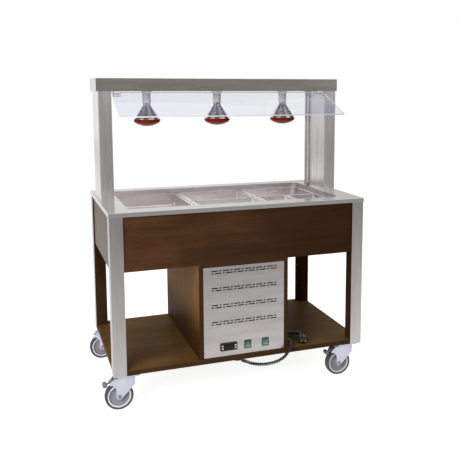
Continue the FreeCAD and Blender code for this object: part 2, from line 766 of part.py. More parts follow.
def bulb_body(shrink):
    """The bulb's bell: a straight neck, a flare, a cone and a belly that ends upright at the rim."""
    neck, rim = BULB_NECK / 2, BULB_DIAMETER / 2
    waist = socket_end - BULB_COLLAR
    rounds = BULB_FLARE + BULB_BELLY
    reach = math.hypot(BULB_CONE, rounds - rim + neck)
    slope = math.degrees(math.asin(rounds / reach) - math.atan2(rounds - rim + neck, BULB_CONE))
    flare = arc_points(neck + BULB_FLARE, waist, BULB_FLARE + shrink, 180, 180 + slope / 2, 180 + slope)
    belly = arc_points(rim - BULB_BELLY, bulb_rim, BULB_BELLY - shrink, slope, slope / 2, 0)
    top, base = V(0, 0, socket_end - shrink), V(0, 0, bulb_rim)
    shoulder = V(neck - shrink, 0, socket_end - shrink)
    return turned([
        Part.LineSegment(top, shoulder),
        Part.LineSegment(shoulder, flare[0]),
        Part.Arc(*flare),
        Part.LineSegment(flare[-1], belly[0]),
        Part.Arc(*belly),
        Part.LineSegment(belly[-1], base),
        Part.LineSegment(base, top),
    ])


def bulb_dome(shrink):
    """The bulb's front: an upright band, a small edge radius and a shallow crown."""
    band = bulb_rim - BULB_BAND
    edge_r = BULB_DIAMETER / 2 - BULB_EDGE
    rise = BULB_DOME - BULB_BAND - BULB_EDGE
    turn = 90 - 2 * math.degrees(math.atan2(rise, edge_r))
    reach = edge_r / math.cos(math.radians(turn))
    crown_z = band + edge_r * math.tan(math.radians(turn))
    edge = arc_points(edge_r, band, BULB_EDGE - shrink, 0, -turn / 2, -turn)
    crown = arc_points(0, crown_z, BULB_EDGE + reach - shrink, -turn, -(turn + 90) / 2, -90)
    base = V(0, 0, bulb_rim)
    rim = V(BULB_DIAMETER / 2 - shrink, 0, bulb_rim)
    return turned([
        Part.LineSegment(base, rim),
        Part.LineSegment(rim, edge[0]),
        Part.Arc(*edge),
        Part.Arc(*crown),
        Part.LineSegment(crown[-1], base),
    ])


def lamp_reflector(x, y):
    cap = Part.makeCylinder(BULB_CAP[0] / 2, BULB_CAP[1], V(0, 0, socket_end))
    shape = bulb_body(0).fuse(cap).cut(bulb_body(BULB_WALL))
    shape.translate(V(x, y, 0))
    return shape


def lamp_front(x, y):
    shape = bulb_dome(0).cut(bulb_dome(BULB_WALL))
    shape.translate(V(x, y, 0))
    return shape


export("lamp_sockets", *[lamp_socket(x, y) for x, y in lamp_places])
export("lamp_reflectors", *[lamp_reflector(x, y) for x, y in lamp_places])
export("lamp_fronts", *[lamp_front(x, y) for x, y in lamp_places])

# Sloping glass guard, held at its upper edge by clamps under the beam
glass_upper = V(0, beam_front + GLASS_TOP, beam_bottom - GLASS_HANG)
glass_lower = V(0, glass_upper.y - GLASS_REACH, glass_upper.z - GLASS_DROP)


def glass_guard():
    along = (glass_lower - glass_upper).normalize()
    across = V(0, along.z, -along.y) * GLASS_THICKNESS
    corners = [glass_upper, glass_lower, glass_lower + across, glass_upper + across, glass_upper]
    pane = Part.Face(Part.makePolygon([c + V(-GLASS_LENGTH / 2, 0, 0) for c in corners]))
    return pane.extrude(V(GLASS_LENGTH, 0, 0))


glass = glass_guard()


def glass_clamp(x):
    length, depth, height = CLAMP
    front = glass_upper.y - CLAMP_GRIP
    jaw = block(x - length / 2, x + length / 2, front, front + depth, beam_bottom - height, beam_bottom)
    lower = [e for e in jaw.Edges if e.CenterOfMass.z < beam_bottom - height + MARGIN]
    return jaw.makeFillet(2 * EDGE_ROUND, lower).cut(glass)


clamp_pitch = (GLASS_LENGTH - 2 * CLAMP_FROM_END) / (CLAMPS - 1)
export("glass_guard", glass)
export("glass_clamps", *[glass_clamp((i - (CLAMPS - 1) / 2) * clamp_pitch) for i in range(CLAMPS)])

# Casters, drawn with the swivel axis at x = y = 0 and the wheel trailing towards -X
plate_under = CASTER_HEIGHT - CASTER_PLATE[2]
cup_under = plate_under - CUP[1]
crown_top = cup_under - CLEARANCE
crown_under = crown_top - CROWN_THICKNESS
wheel_radius = WHEEL_DIAMETER / 2
axle_x = -CASTER_TRAIL
axle_z = wheel_radius
fork_outer = FORK_GAP / 2 + FORK_SHEET
pedal_pin_x, pedal_pin_z = PEDAL_AT
crown_nose = CUP[0] / 2 + FORK_NOSE
crown_tail = pedal_pin_x + FORK_SHOULDER


def caster_plate():
    length, depth, _ = CASTER_PLATE
    plate = rounded_prism(0, 0, length, depth, CASTER_PLATE_CORNER, plate_under, CASTER_HEIGHT)
    cup = Part.makeCylinder(CUP[0] / 2, CUP[1], V(0, 0, cup_under))
    head_top = crown_under - CLEARANCE
    pin = Part.makeCylinder(KING_PIN / 2, plate_under - head_top, V(0, 0, head_top))
    head = Part.makeCylinder(KING_HEAD[0] / 2, KING_HEAD[1], V(0, 0, head_top - KING_HEAD[1]))
    return plate.fuse([cup, pin, head]).removeSplitter()


def fork_side(y):
    """One cheek of the fork: wide at the crown, drawn in to a round boss at the axle, hollowed behind."""
    slant = math.sqrt(0.5) * AXLE_BOSS
    tail = pedal_pin_x - FORK_TAIL
    shoulder = V(crown_nose, y, axle_z + (crown_nose - axle_x) - 2 * slant)
    low_right = V(axle_x + slant, y, axle_z - slant)
    low = V(axle_x, y, axle_z - AXLE_BOSS)
    low_left = V(axle_x - AXLE_BOSS, y, axle_z)
    armpit = V(axle_x - AXLE_BOSS, y, axle_z + FORK_ARMPIT)
    tail_low = V(tail, y, pedal_pin_z - FORK_HEEL[0])
    hollow = (armpit + tail_low) * 0.5 + V(FORK_HOLLOW[0], 0, FORK_HOLLOW[1])
    tail_high = V(tail, y, pedal_pin_z - FORK_HEEL[1])
    crown_left = V(crown_tail, y, crown_top)
    crown_right = V(crown_nose, y, crown_top)
    curves = [
        Part.LineSegment(crown_right, shoulder),
        Part.LineSegment(shoulder, low_right),
        Part.Arc(low_right, low, low_left),
        Part.LineSegment(low_left, armpit),
        Part.Arc(armpit, hollow, tail_low),
        Part.LineSegment(tail_low, tail_high),
        Part.LineSegment(tail_high, crown_left),
        Part.LineSegment(crown_left, crown_right),
    ]
    wire = Part.Wire([c.toShape() for c in curves])
    return Part.Face(wire).extrude(V(0, FORK_SHEET, 0))


def caster_fork(braked):
    """The fork with its axle, and the pedal pin where there is a brake."""
    cheeks = fork_side(FORK_GAP / 2).fuse(fork_side(-fork_outer))
    crown = block(crown_tail, crown_nose, -fork_outer, fork_outer, crown_under, crown_top)
    crown_disc = Part.makeCylinder(CUP[0] / 2, CROWN_THICKNESS, V(0, 0, crown_under))
    fork = cheeks.fuse([crown, crown_disc])
    holes = [
        Part.makeCylinder(KING_PIN / 2 + RUNNING, CROWN_THICKNESS, V(0, 0, crown_under)),
        rod(AXLE / 2, V(axle_x, -fork_outer, axle_z), V(axle_x, fork_outer, axle_z)),
    ]
    end = fork_outer + AXLE_HEAD[1]
    axle = rod(AXLE / 2, V(axle_x, -fork_outer, axle_z), V(axle_x, fork_outer, axle_z))
    heads = [
        rod(AXLE_HEAD[0] / 2, V(axle_x, side * fork_outer, axle_z), V(axle_x, side * end, axle_z))
        for side in (-1, 1)
    ]
    pieces = [axle.fuse(heads)]
    if braked:
        pin = rod(
            PEDAL_PIN / 2, V(pedal_pin_x, -fork_outer, pedal_pin_z), V(pedal_pin_x, fork_outer, pedal_pin_z)
        )
        holes.append(pin)
        pieces.append(pin)
    return [fork.cut(holes).removeSplitter()] + pieces


def wheel_revolved(points):
    """A wheel part from (radius, offset) points, turned about the axle."""
    wire = Part.makePolygon([V(axle_x + r, y, axle_z) for r, y in points + points[:1]])
    return Part.Face(wire).revolve(V(axle_x, 0, axle_z), V(0, 1, 0), 360)


def wheel_core():
    bore = AXLE / 2 + RUNNING
    hub = HUB_DIAMETER / 2
    hub_half = FORK_GAP / 2 - HUB_PLAY
    rim = CORE_DIAMETER / 2
    ring = rim - RIM_RING
    side = CORE_WIDTH / 2
    web = WEB / 2
    half = [
        (bore, hub_half), (hub, hub_half), (hub + HUB_FOOT[0], web + HUB_FOOT[1]), (ring - RIM_SLANT, web),
        (ring, side), (rim, side),
    ]
    return wheel_revolved(half + [(r, -y) for r, y in reversed(half)])


def tyre():
    rim, outer, side = CORE_DIAMETER / 2, wheel_radius, WHEEL_WIDTH / 2
    half = [
        (rim, side - TYRE_BEAD[1]), (rim + TYRE_BEAD[0], side), (outer - TYRE_SHOULDER, side),
        (outer - TYRE_CROWN[0], side - TYRE_SHOULDER), (outer, TYRE_CROWN[1] / 2),
    ]
    return wheel_revolved(half + [(r, -y) for r, y in reversed(half)])


def brake_pedal():
    """A rod from a hub on the pedal pin to a round foot knob across its end."""
    half_hub, half_knob = PEDAL_HUB[1] / 2, PEDAL_KNOB[1] / 2
    at, knob_at = V(pedal_pin_x, 0, pedal_pin_z), V(PEDAL_KNOB_AT[0], 0, PEDAL_KNOB_AT[1])
    hub = rod(PEDAL_HUB[0] / 2, at - V(0, half_hub, 0), at + V(0, half_hub, 0))
    knob = rod(PEDAL_KNOB[0] / 2, knob_at - V(0, half_knob, 0), knob_at + V(0, half_knob, 0))
    knob = knob.makeFillet(PEDAL_KNOB_ROUND, [e for e in knob.Edges if e.Closed])
    bore = rod(PEDAL_PIN / 2 + RUNNING, at - V(0, half_hub, 0), at + V(0, half_hub, 0))
    return hub.fuse([knob, rod(PEDAL_ROD / 2, at, knob_at)]).cut(bore)


# The two front casters and the left rear one trail to the left, the right rear one to the right
caster_x, caster_y = half_width - CASTER_INSET[0], half_depth - CASTER_INSET[1]
casters = {
    "front_left": (-caster_x, -caster_y, 0, True),
    "front_right": (caster_x, -caster_y, 0, True),
    "rear_left": (-caster_x, caster_y, 0, False),
    "rear_right": (caster_x, caster_y, 180, False),
}


def placed(shape, x, y, turn):
    shape = shape.copy()
    shape.rotate(V(0, 0, 0), V(0, 0, 1), turn)
    shape.translate(V(x, y, 0))
    return shape


export("caster_plates", *[placed(caster_plate(), x, y, turn) for x, y, turn, _ in casters.values()])
for name, (x, y, turn, braked) in casters.items():
    export("caster_fork_" + name, *[placed(s, x, y, turn) for s in caster_fork(braked)])
    export("wheel_core_" + name, placed(wheel_core(), x, y, turn))
    export("tyre_" + name, placed(tyre(), x, y, turn))
    if braked:
        export("brake_pedal_" + name, placed(brake_pedal(), x, y, turn))


# Curly mains cord: the route is straight runs joined by arcs, and the wire winds round it

def route_pieces(points):
    """The runs and arcs of the route, each as (length, position and direction at a distance)."""
    pieces, radii = [], []
    start = points[0]
    for i in range(1, len(points) - 1):
        p = points[i]
        before, after = p - points[i - 1], points[i + 1] - p
        turn = before.getAngle(after)
        reach = ROUTE_ARC * min(before.Length, after.Length)
        radius = reach / math.tan(turn / 2)
        u, w = V(before).normalize(), V(after).normalize()
        a, b = p - u * reach, p + w * reach
        pieces.append(("run", start, u, (a - start).Length))
        inward = (w - u * u.dot(w)).normalize()
        pieces.append(("arc", a, u, radius * turn, radius, inward))
        radii.append(radius)
        start = b
    last = points[-1] - start
    pieces.append(("run", start, V(last).normalize(), last.Length))
    return pieces, radii


def on_route(pieces, distance):
    for piece in pieces:
        if distance <= piece[3] or piece is pieces[-1]:
            break
        distance -= piece[3]
    if piece[0] == "run":
        return piece[1] + piece[2] * distance, piece[2]
    _, start, way, _, radius, inward = piece
    angle = distance / radius
    place = start + way * (radius * math.sin(angle)) + inward * (radius * (1 - math.cos(angle)))
    return place, way * math.cos(angle) + inward * math.sin(angle)


def arc_from(start, way, end):
    """The arc that leaves start along way and reaches end."""
    chord = end - start
    along = V(chord).normalize()
    side = way - along * way.dot(along)
    if side.Length < 1e-6:
        return Part.LineSegment(start, end).toShape()
    half_turn = way.getAngle(chord) / 2
    middle = (start + end) * 0.5 + side.normalize() * (chord.Length / 2 * math.tan(half_turn))
    return Part.Arc(start, middle, end).toShape()


def biarc(p0, t0, p1, t1):
    chord, sum_way = p1 - p0, t0 + t1
    bend = 2 * (1 - t0.dot(t1))
    if bend < 1e-9:
        reach = chord.dot(chord) / (4 * chord.dot(t1))
    else:
        lean = chord.dot(sum_way)
        reach = (-lean + math.sqrt(lean * lean + bend * chord.dot(chord))) / bend
    joint = (p0 + p1 + (t0 - t1) * reach) * 0.5
    second = arc_from(p1, t1 * -1, joint)
    return [arc_from(p0, t0, joint), second]


def curly_cord():
    pieces, radii = route_pieces(cord_points)
    length = sum(piece[3] for piece in pieces)
    wound = length - 2 * WIRE_DIAMETER
    curls = round(wound / CURL_PITCH)
    turn_radius = (CURL_DIAMETER - WIRE_DIAMETER) / 2
    steps = CURL_STEPS * curls
    _, way = on_route(pieces, 0)
    normal = way.cross(V(0, 0, 1)).normalize()
    line = []
    for i in range(steps + 1):
        distance = WIRE_DIAMETER + wound * i / steps
        place, way = on_route(pieces, distance)
        normal = (normal - way * normal.dot(way)).normalize()
        ease = min(1.0, wound * i / steps / CURL_LEAD, wound * (steps - i) / steps / CURL_LEAD)
        swell = turn_radius * ease * ease * (3 - 2 * ease)
        angle = 2 * math.pi * curls * i / steps
        line.append(place + (normal * math.cos(angle) + way.cross(normal) * math.sin(angle)) * swell)
    knots = list(range(0, steps + 1, CURL_STEPS // 4))
    ways = []
    for k in knots:
        if k == 0:
            ways.append(on_route(pieces, 0)[1])
        elif k == steps:
            ways.append(on_route(pieces, length)[1])
        else:
            ways.append((line[k + 1] - line[k - 1]).normalize())
    edges = [Part.LineSegment(cord_points[0], line[0]).toShape()]
    for (a, ta), (b, tb) in zip(zip(knots, ways), zip(knots[1:], ways[1:])):
        edges += biarc(line[a], ta, line[b], tb)
    edges.append(Part.LineSegment(line[-1], cord_points[-1]).toShape())
    path = Part.Wire(Part.__sortEdges__(edges))
    ring = Part.Wire(Part.makeCircle(WIRE_DIAMETER / 2, cord_points[0], ways[0]))
    tube = path.makePipeShell([ring], True, False)
    run = [0.0]
    for a, b in zip(line, line[1:]):
        run.append(run[-1] + (b - a).Length)
    least = min(
        (line[i] - line[j]).Length
        for i in range(0, steps, 2)
        for j in range(i, min(i + 2 * CURL_STEPS, steps), 2)
        if run[j] - run[i] > GAP_REACH * WIRE_DIAMETER
    )
    print("cord route", round(length, 1), "mm, bends", [round(r, 1) for r in radii])
    gap = least - WIRE_DIAMETER
    print("cord curls", curls, "wire", round(path.Length, 1), "mm, least gap", round(gap, 2))
    print("cord volume", round(tube.Volume), "section times length", round(
        math.pi * WIRE_DIAMETER**2 / 4 * path.Length))
    return tube


export("curly_cord", curly_cord())


# Elbow gland under the shelf, where the cord comes out

def cord_gland():
    at = V(gland_axis.x, gland_axis.y, gland_mouth.z)
    top = V(at.x, at.y, shelf_top)
    stem = rod(GLAND_DIAMETER / 2 - CLEARANCE, at, top)
    flange = rod(GLAND_FLANGE[0] / 2, V(at.x, at.y, leg_bottom - GLAND_FLANGE[1]), V(at.x, at.y, leg_bottom))
    elbow = Part.makeSphere(GLAND_DIAMETER / 2 - CLEARANCE, at)
    nose = Part.makeCone(
        GLAND_DIAMETER / 2 - CLEARANCE, WIRE_DIAMETER, GLAND_NOSE, at, gland_way
    )
    return stem.fuse([flange, elbow, nose])


export("cord_gland", cord_gland())


# Round two-pin plug lying on the shelf at the cord's end

def cord_plug():
    end = cord_points[-1]
    way = end - cord_points[-2]
    way = V(way.x, way.y, 0).normalize()
    neck = Part.makeCone(PLUG_NECK[0] / 2, PLUG_NECK[1] / 2, PLUG_NECK[2], end, way)
    body_at = end + way * PLUG_NECK[2]
    body = rod(PLUG_DIAMETER / 2, body_at, body_at + way * PLUG_LENGTH)
    body = body.makeFillet(PLUG_ROUND, [e for e in body.Edges if e.Closed])
    face = body_at + way * PLUG_LENGTH
    across = V(-way.y, way.x, 0)
    pins = []
    for side in (-1, 1):
        root = face + across * (side * PLUG_PIN[2] / 2)
        pins.append(rod(PLUG_PIN[0] / 2, root, root + way * PLUG_PIN[1]))
    return [neck.fuse(body)] + pins


export("cord_plug", *cord_plug())
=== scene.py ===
import bisect
import math

import bmesh
import bpy
from mathutils import Matrix, Vector


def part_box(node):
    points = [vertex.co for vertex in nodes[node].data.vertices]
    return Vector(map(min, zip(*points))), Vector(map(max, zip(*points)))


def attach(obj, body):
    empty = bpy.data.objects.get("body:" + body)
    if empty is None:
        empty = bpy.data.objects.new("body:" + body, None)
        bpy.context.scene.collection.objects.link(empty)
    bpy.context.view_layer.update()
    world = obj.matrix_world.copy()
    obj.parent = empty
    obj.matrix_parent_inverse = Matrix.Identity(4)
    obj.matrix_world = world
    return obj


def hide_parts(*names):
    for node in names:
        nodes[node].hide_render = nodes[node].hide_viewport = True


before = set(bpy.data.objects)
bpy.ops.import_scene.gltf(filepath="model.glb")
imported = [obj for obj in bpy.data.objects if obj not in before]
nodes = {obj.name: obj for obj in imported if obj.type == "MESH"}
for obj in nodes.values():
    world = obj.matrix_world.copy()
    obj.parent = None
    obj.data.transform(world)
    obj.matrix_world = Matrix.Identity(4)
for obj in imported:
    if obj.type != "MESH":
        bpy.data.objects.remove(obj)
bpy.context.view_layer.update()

# Corner posts, aprons, bottom shelf and cabinet boards: chipboard veneered in dark stained wood under a
# satin lacquer, each with its grain along its length. They are dowelled and screwed together from
# inside, so that no fastener shows.
X, Y, Z = range(3)  # along the cart's width, along its depth, and upwards
WOOD_DARK = (0.030, 0.0120, 0.0042, 1)
WOOD_LIGHT = (0.086, 0.040, 0.0165, 1)
WOOD_RED = (0.092, 0.028, 0.011, 1)
PLAIN_TINT = (1, 1, 1)
POST_TINT = (0.65, 0.72, 0.85)
APRON_TINT = (1.2, 1.27, 1.4)
APRON_FIGURE = 0.6  # how strong the figure is, against 1 for a plain board
APRON_PAINTED_SHADE_SPAN = (-0.55, 0.55)  # painted shade: a board darkens along its grain from the first place to the second
SHELF_PAINTED_LIGHT_TINT = (2.2, 2.75, 2.2)  # painted light: the matt shelf is made paler and more olive than the lacquered boards, to make up for the shade it lies in
SHELF_FIGURE = 0.45
# painted light: the cabinet sides are made far paler than the other boards, for light on their shaded
# faces
CABINET_PAINTED_LIGHT_TINT = (3.85, 4.25, 3.3)
# painted shade: the cabinet sides darken towards their foot between these two heights
CABINET_PAINTED_SHADE_SPAN = (0.46, 0.25)
CABINET_SHEEN = 0.45  # the cut fibres of its veneer glint in their own colour
EDGING = (0.062, 0.031, 0.0133, 1)  # glued to the front and back edges of the shelf and the cabinet
STRIPES = (46.0, 14)  # per metre across the grain, and how many times longer they are along it
PORES = (900.0, 30)
CLOUDS = (5.5, 2)
RED_CLOUDS = (17.05, 3)
PORE_DEPTH = 0.0004
LACQUER_GLOSS = 0.3
LACQUER_COAT = 0.35
LACQUER_ROUGHNESS = 0.3


class Value:
    """A shader socket in an expression: each operator adds a Math node to its material."""

    def __init__(self, shade, socket):
        self.shade = shade
        self.socket = socket

    def math(self, operation, *others):
        return self.shade.math(operation, self, *others)

    def __add__(self, other):
        return self.math("ADD", other)

    def __sub__(self, other):
        return self.math("SUBTRACT", other)

    def __rsub__(self, other):
        return self.shade.math("SUBTRACT", other, self)

    def __mul__(self, other):
        return self.math("MULTIPLY", other)

    def __pow__(self, other):
        return self.math("POWER", other)

    __radd__ = __add__
    __rmul__ = __mul__


class Shading:
    """The nodes of one finish."""

    def __init__(self, tree):
        self.tree = tree
        tree.nodes.clear()

    def node(self, kind, settings, sockets, output=0):
        made = self.tree.nodes.new(kind)
        for name, value in settings.items():
            setattr(made, name, value)
        for name, value in sockets.items():
            if isinstance(value, Value):
                self.tree.links.new(value.socket, made.inputs[name])
            else:
                made.inputs[name].default_value = value
        return Value(self, made.outputs[output]) if made.outputs else None

    def math(self, operation, *values):
        return self.node("ShaderNodeMath", {"operation": operation}, dict(enumerate(values)))

    def coordinates(self, kind="Object"):
        return self.node("ShaderNodeTexCoord", {}, {}, kind)

    def part(self, vector, axis):
        return self.node("ShaderNodeSeparateXYZ", {}, {"Vector": vector}, axis)

    def noise(self, pattern, detail, axis=X, roughness=0.55):
        """Patches of noise: so many per metre, and so many times longer along the axis than across it."""
        per_metre, length = pattern
        scale = [per_metre] * 3
        scale[axis] = per_metre / length
        vector = self.node("ShaderNodeMapping", {}, {"Vector": self.coordinates(), "Scale": scale})
        sockets = {"Vector": vector, "Scale": 1.0, "Detail": detail, "Roughness": roughness}
        return self.node("ShaderNodeTexNoise", {}, sockets)

    def facing(self, axis):
        """1 on faces that look along an axis of the object, either way, and 0 on the rest."""
        lean = self.part(self.coordinates("Normal"), axis)
        return self.spread(lean.math("ABSOLUTE"), 0.6, 0.8)

    def spread(self, value, low, high):
        """The value with low brought to 0 and high to 1."""
        sockets = {"Value": value, "From Min": low, "From Max": high}
        return self.node("ShaderNodeMapRange", {"interpolation_type": "SMOOTHSTEP"}, sockets)

    def mix(self, factor, first, second):
        return self.node("ShaderNodeMix", {"data_type": "RGBA"}, {0: factor, 6: first, 7: second}, 2)

    def bump(self, height, strength, depth):
        sockets = {"Height": height, "Strength": strength, "Distance": depth}
        return self.node("ShaderNodeBump", {}, sockets)

    def surface(self, sockets):
        skin = self.node("ShaderNodeBsdfPrincipled", {}, sockets)
        self.node("ShaderNodeOutputMaterial", {}, {"Surface": skin})


def material(name):
    made = bpy.data.materials.new(name)
    made.use_nodes = True
    return made, Shading(made.node_tree)


def dress(finish, *names):
    """Gives CAD nodes a finish."""
    for name in names:
        for place in nodes[name].material_slots:
            place.material = finish


def shaded(colour, factor):
    return tuple(part * factor for part in colour[:3]) + (1,)


def tinted(colour, tint):
    return tuple(part * share for part, share in zip(colour, tint)) + (1,)


def wood(name, grain, tint, gloss, fade=0.0, painted_shade_span=APRON_PAINTED_SHADE_SPAN, edging=None, figure=1.0, sheen=0.0):
    """Stained veneer: stripes and pores along the grain, red and pale clouds across the board.

    Painted shade darkens it along its grain by the share fade between two places. Edging of its own colour
    covers the front and back edges of a board. A figure below 1 draws the tones together, and a sheen
    glints in the wood's colour.
    """
    finish, shade = material(name)
    stripes = shade.noise(STRIPES, detail=5.0, axis=grain, roughness=0.6)
    pores = shade.noise(PORES, detail=2.0, axis=grain)
    clouds = shade.noise(CLOUDS, detail=4.0, axis=grain)
    red = shade.spread(shade.noise(RED_CLOUDS, detail=3.0, axis=grain), 0.42, 0.68)
    tone = shade.spread(0.42 * stripes + 0.58 * clouds, 0.34, 0.66) * figure + (1 - figure) / 2
    dark, light, warm = [tinted(colour, tint) for colour in (WOOD_DARK, WOOD_LIGHT, WOOD_RED)]
    colour = shade.mix(tone, dark, shade.mix(red * 0.6, light, warm))
    along = shade.part(shade.coordinates(), grain)
    # Painted shade: the wood darkens along its grain between two places.
    colour = shade.mix(shade.spread(along, *painted_shade_span) * fade, colour, shaded(WOOD_DARK, 0.9))
    dark_pores = shade.spread(pores, 0.56, 0.7)
    colour = shade.mix(dark_pores * 0.45, colour, dark)
    if edging:
        colour = shade.mix(shade.facing(Y), colour, edging)
    shade.surface({
        "Base Color": colour,
        "Roughness": 0.46 + 0.16 * clouds,
        "Metallic": sheen,
        "Normal": shade.bump(1 - dark_pores, strength=0.12, depth=PORE_DEPTH),
        "Specular IOR Level": LACQUER_GLOSS * gloss,
        "Coat Weight": LACQUER_COAT * gloss,
        "Coat Roughness": LACQUER_ROUGHNESS,
    })
    return finish


dress(wood("post_wood", grain=Z, tint=POST_TINT, gloss=0.0), "corner_posts")
# Painted shade: the aprons darken along their length towards the right.
dress(
    wood("apron_wood_long", grain=X, tint=APRON_TINT, gloss=0.12, fade=0.7, figure=APRON_FIGURE),
    "front_apron", "back_apron",
)
dress(wood("apron_wood_deep", grain=Y, tint=PLAIN_TINT, gloss=1.0), "side_aprons")
# Painted light: the shelf is made paler and more olive than the other boards.
dress(
    wood("shelf_wood", grain=X, tint=SHELF_PAINTED_LIGHT_TINT, gloss=0.06, edging=EDGING, figure=SHELF_FIGURE),
    "bottom_shelf",
)
dress(wood("cabinet_lid_wood", grain=X, tint=PLAIN_TINT, gloss=0.1, edging=EDGING), "cabinet_top")
# Painted light and shade: the cabinet sides are made much paler than the other boards, and darken towards
# their foot.
dress(
    wood(
        "cabinet_side_wood", grain=Z, tint=CABINET_PAINTED_LIGHT_TINT, gloss=0.0, fade=0.85, painted_shade_span=CABINET_PAINTED_SHADE_SPAN,
        edging=EDGING, figure=SHELF_FIGURE, sheen=CABINET_SHEEN,
    ),
    "cabinet_left_side", "cabinet_right_side",
)
dress(wood("cabinet_back_wood", grain=Z, tint=PLAIN_TINT, gloss=0.2), "cabinet_back")

# Corner angles: stainless sheet folded to a right angle over the two outer faces of each post, brushed
# upright and glued on, with a small round at the fold.
ANGLE_COLOUR = (0.60, 0.57, 0.55, 1)
BRUSH_LINES = (620, 90)  # per metre across the brushing, and how many times longer they are along it
BRUSH_BANDS = (34, 9)
SMEARS = (9, 1.6)
BRUSH_DEPTH = 0.0003


def steel(name, colour, roughness, brush, contrast=0.16, metal=1.0, along=None):
    """Brushed sheet: fine lines and broad bands along the brush, and faint smears that dull the gloss.

    Where along gives an axis and a colour, faces that look along that axis have that colour.
    """
    finish, shade = material(name)
    lines = shade.noise(BRUSH_LINES, detail=2.0, axis=brush)
    bands = shade.noise(BRUSH_BANDS, detail=3.0, axis=brush)
    smears = shade.noise(SMEARS, detail=4.0, axis=brush)
    tone = shade.spread(0.5 * lines + 0.5 * bands, 0.3, 0.7)
    brushed = shade.mix(tone, shaded(colour, 1 - contrast), shaded(colour, 1 + contrast / 2))
    if along:
        brushed = shade.mix(shade.facing(along[0]), brushed, along[1])
    shade.surface({
        "Base Color": brushed,
        "Roughness": roughness - 0.09 + 0.1 * lines + 0.1 * smears,
        "Metallic": metal,
        "Normal": shade.bump(lines, strength=0.06, depth=BRUSH_DEPTH),
    })
    return finish


dress(steel("angle_steel", ANGLE_COLOUR, roughness=0.3, brush=Z), "corner_angles")

# Worktop, well tank and divider bars: stainless sheet with folded lips, the tank welded under its
# opening. The bars lie loose on the tank's ledge.
WORKTOP_COLOUR = (0.46, 0.45, 0.43, 1)
LIP_PAINTED_REFLECTION = (0.86, 0.84, 0.80, 1)  # painted reflection: lips at front and back, lighter than the top
TANK_COLOUR = (0.70, 0.655, 0.635, 1)
BAR_COLOUR = (0.74, 0.72, 0.71, 1)
# Painted reflection: the front and back lips are lighter than the top.
dress(
    steel("worktop_steel", WORKTOP_COLOUR, roughness=0.14, brush=X, contrast=0.1, along=(Y, LIP_PAINTED_REFLECTION)),
    "worktop",
)
dress(steel("bar_steel", BAR_COLOUR, roughness=0.22, brush=Y, contrast=0.1), "divider_bars")
dress(steel("tank_steel", TANK_COLOUR, roughness=0.28, brush=X), "well_tank")

# Food pans: deep drawn stainless pans with a flat rim, tapered walls and large rounds between the walls
# and the floor. Each hangs by its rim on the ledge and the bars, and lifts straight out.
PAN_SIZES = ("full", "middle_front", "middle_back", "right_back", "quarter_left", "quarter_right")
PAN_COLOUR = (0.92, 0.895, 0.905, 1)
# painted shade: the pan walls are darker than the floor and rim, which look up and take this colour
PAN_PAINTED_LIGHT_COLOUR = (0.97, 0.945, 0.955, 1)
PAN_RIM = 0.0125
PAN_CORNER = 0.016
PAN_CORNER_STEPS = 7
PAN_TAPER = 0.004
PAN_ROUND = 0.014
PAN_ROUND_STEPS = 5
PAN_SHEET = 0.0009
PAN_BEAD = 0.0016  # turned-down edge of the rim
# Painted shade: the walls of each pan are darker than its floor and rim.
pan_steel = steel(
    "pan_steel", PAN_COLOUR, roughness=0.16, brush=Y, contrast=0.12, metal=0.92,
    along=(Z, PAN_PAINTED_LIGHT_COLOUR),
)


def piece(name, bm, body, slot, *finishes, crease=40):
    """A finished object from a bmesh, riding on a body, smooth but for edges past crease degrees."""
    mesh = bpy.data.meshes.new(name)
    bm.to_mesh(mesh)
    bm.free()
    for finish in finishes:
        mesh.materials.append(finish)
    mesh.shade_smooth()
    mesh.set_sharp_from_angle(angle=math.radians(crease))
    made = bpy.data.objects.new(name, mesh)
    bpy.context.scene.collection.objects.link(made)
    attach(made, body)
    return made


def bevel(bm, edges, width, segments):
    bmesh.ops.bevel(
        bm, geom=edges, offset=width, segments=segments, profile=0.5, affect="EDGES", material=-1,
        clamp_overlap=True,
    )


def corners_of(extruded):
    return [part for part in extruded["geom"] if isinstance(part, bmesh.types.BMVert)]


def floor_looks_up(bm):
    """Whether the pan's floor, its largest face, points upwards."""
    bm.normal_update()
    return max(bm.faces, key=lambda face: face.calc_area()).normal.z > 0


